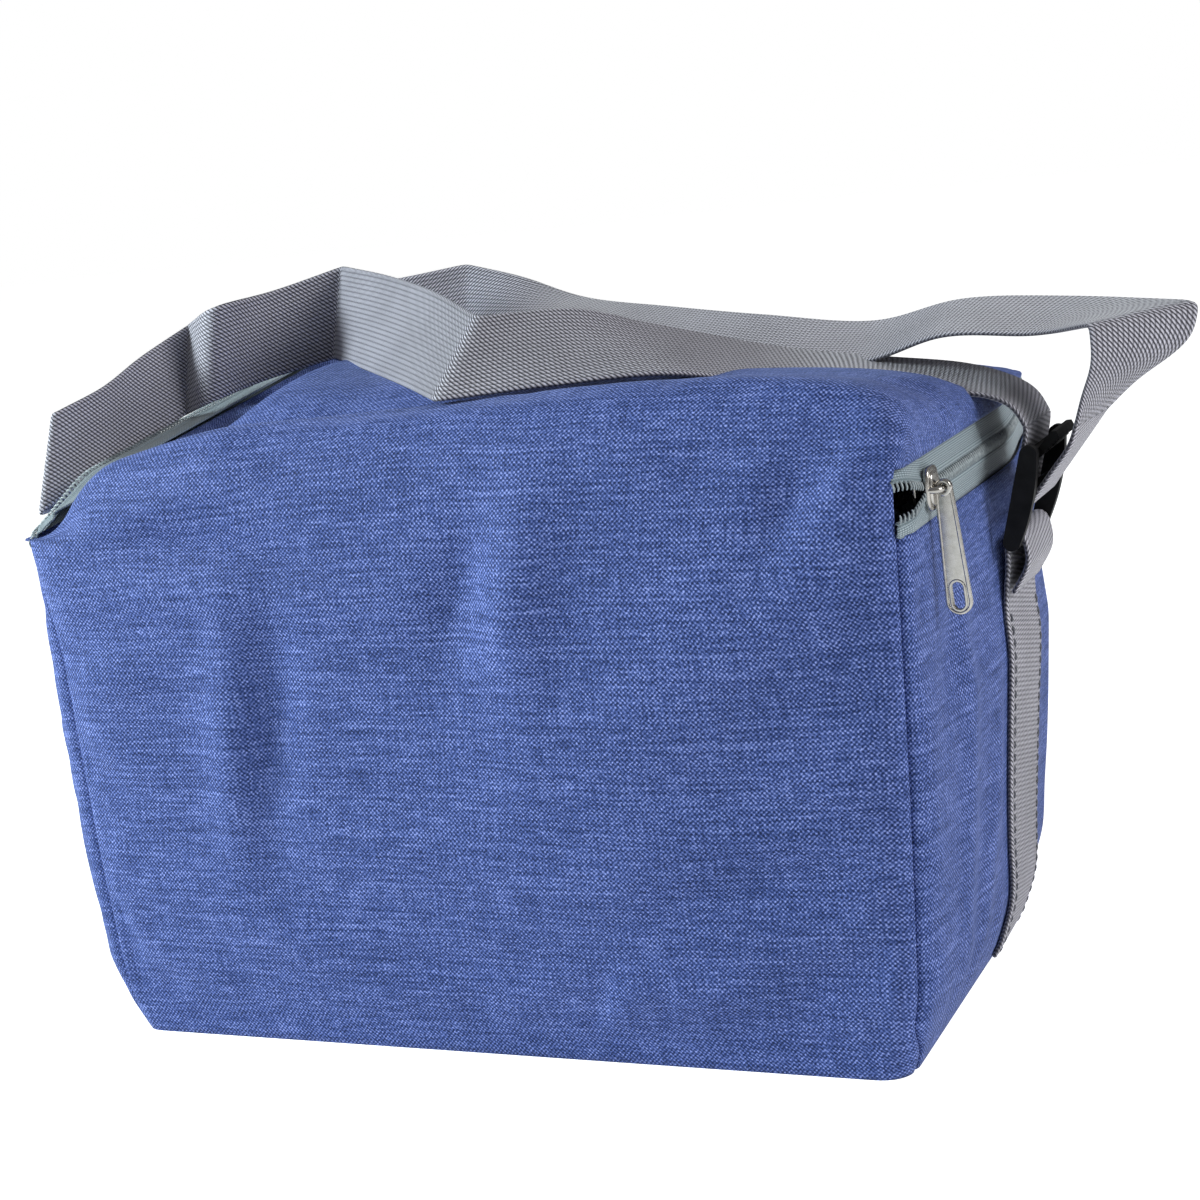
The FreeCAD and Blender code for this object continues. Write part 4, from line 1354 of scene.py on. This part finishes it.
# the two straps, each listed with the two places where it leaves the bag: the main run at both ends, the
# tail at the buckle
MAIN_BEND = ((0, 0, 0.1529), (-0.0004, 0, 0.1635))
TAIL_BEND = ((0, 0, 0.160), (0, 0, 0.178))
for name, run, creases, node, bend in (
    ("shoulder_strap_web", RUN_A, (7, 10, 13), "shoulder_strap", MAIN_BEND),
    ("strap_tail_web", RUN_B, (3, 11), "strap_tail", TAIL_BEND),
):
    strap = paint(ribbon_object(name, run, creases), WEB)
    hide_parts(node)
    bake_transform(strap)


# ---- stage, light and camera ------------------------------------------------
FLOOR_HALF = 6000.0
LIGHT_AIM = (0.0, 0.0, 0.1)
CAMERA_PLACE = (0.293, -0.599, 0.247)
CAMERA_TURN = (25.4, 11.6, -7.0)        # yaw, pitch down and roll in degrees
CAMERA_LENS = 66.0
WORLD_LIGHT = 0.23                      # light from all round, next to what the camera sees


def floor():
    """Flat studio paper under the bag."""
    corners = [(-1, -1, 0), (1, -1, 0), (1, 1, 0), (-1, 1, 0)]
    obj = new_object("floor", np.array(corners) * FLOOR_HALF, [(0, 1, 2, 3)])
    paint(obj, paper_material())


def area_light(name, place, size, power, color):
    """Square soft light aimed at the bag."""
    data = bpy.data.lights.new(name, "AREA")
    data.size = size
    data.energy = power
    data.color = color
    obj = bpy.data.objects.new(name, data)
    obj.location = place
    direction = Vector(LIGHT_AIM) - Vector(place)
    obj.rotation_euler = direction.to_track_quat("-Z", "Y").to_euler()
    bpy.context.scene.collection.objects.link(obj)


def camera():
    """The camera, looking down at the bag's near and right sides."""
    yaw, pitch, roll = (math.radians(a) for a in CAMERA_TURN)
    level = Vector((-math.sin(yaw), math.cos(yaw), 0.0)) * math.cos(pitch)
    forward = level - Vector((0.0, 0.0, math.sin(pitch)))
    right = Vector((math.cos(yaw), math.sin(yaw), 0.0))
    up = right.cross(forward)
    r = right * math.cos(roll) + up * math.sin(roll)
    u = -right * math.sin(roll) + up * math.cos(roll)
    data = bpy.data.cameras.new("camera")
    data.lens = CAMERA_LENS
    data.sensor_width = 36.0
    data.clip_start = 0.01
    obj = bpy.data.objects.new("camera", data)
    facing = Matrix((r, u, -forward)).transposed().to_4x4()
    obj.matrix_world = Matrix.Translation(CAMERA_PLACE) @ facing
    bpy.context.scene.collection.objects.link(obj)
    bpy.context.scene.camera = obj


def surroundings():
    """White all round: full for the camera, dim for the bag."""
    world = bpy.data.worlds.new("studio")
    world.use_nodes = True
    tree = world.node_tree
    background = tree.nodes["Background"]
    path = tree.nodes.new("ShaderNodeLightPath")
    strength = tree.nodes.new("ShaderNodeMath")
    strength.operation = "MULTIPLY_ADD"
    strength.inputs[1].default_value = 1.0 - WORLD_LIGHT
    strength.inputs[2].default_value = WORLD_LIGHT
    tree.links.new(path.outputs["Is Camera Ray"], strength.inputs[0])
    tree.links.new(strength.outputs[0], background.inputs["Strength"])
    background.inputs["Color"].default_value = (1.0, 1.0, 1.0, 1.0)
    bpy.context.scene.world = world


floor()
area_light("left_box", (-0.90, -0.45, 0.58), 0.40, 17.0, (0.86, 0.97, 1.0))
area_light("right_box", (1.4, -0.05, 0.9), 0.7, 15.5, (1.0, 1.0, 1.0))
camera()
surroundings()
bpy.context.scene.view_settings.view_transform = "Standard"
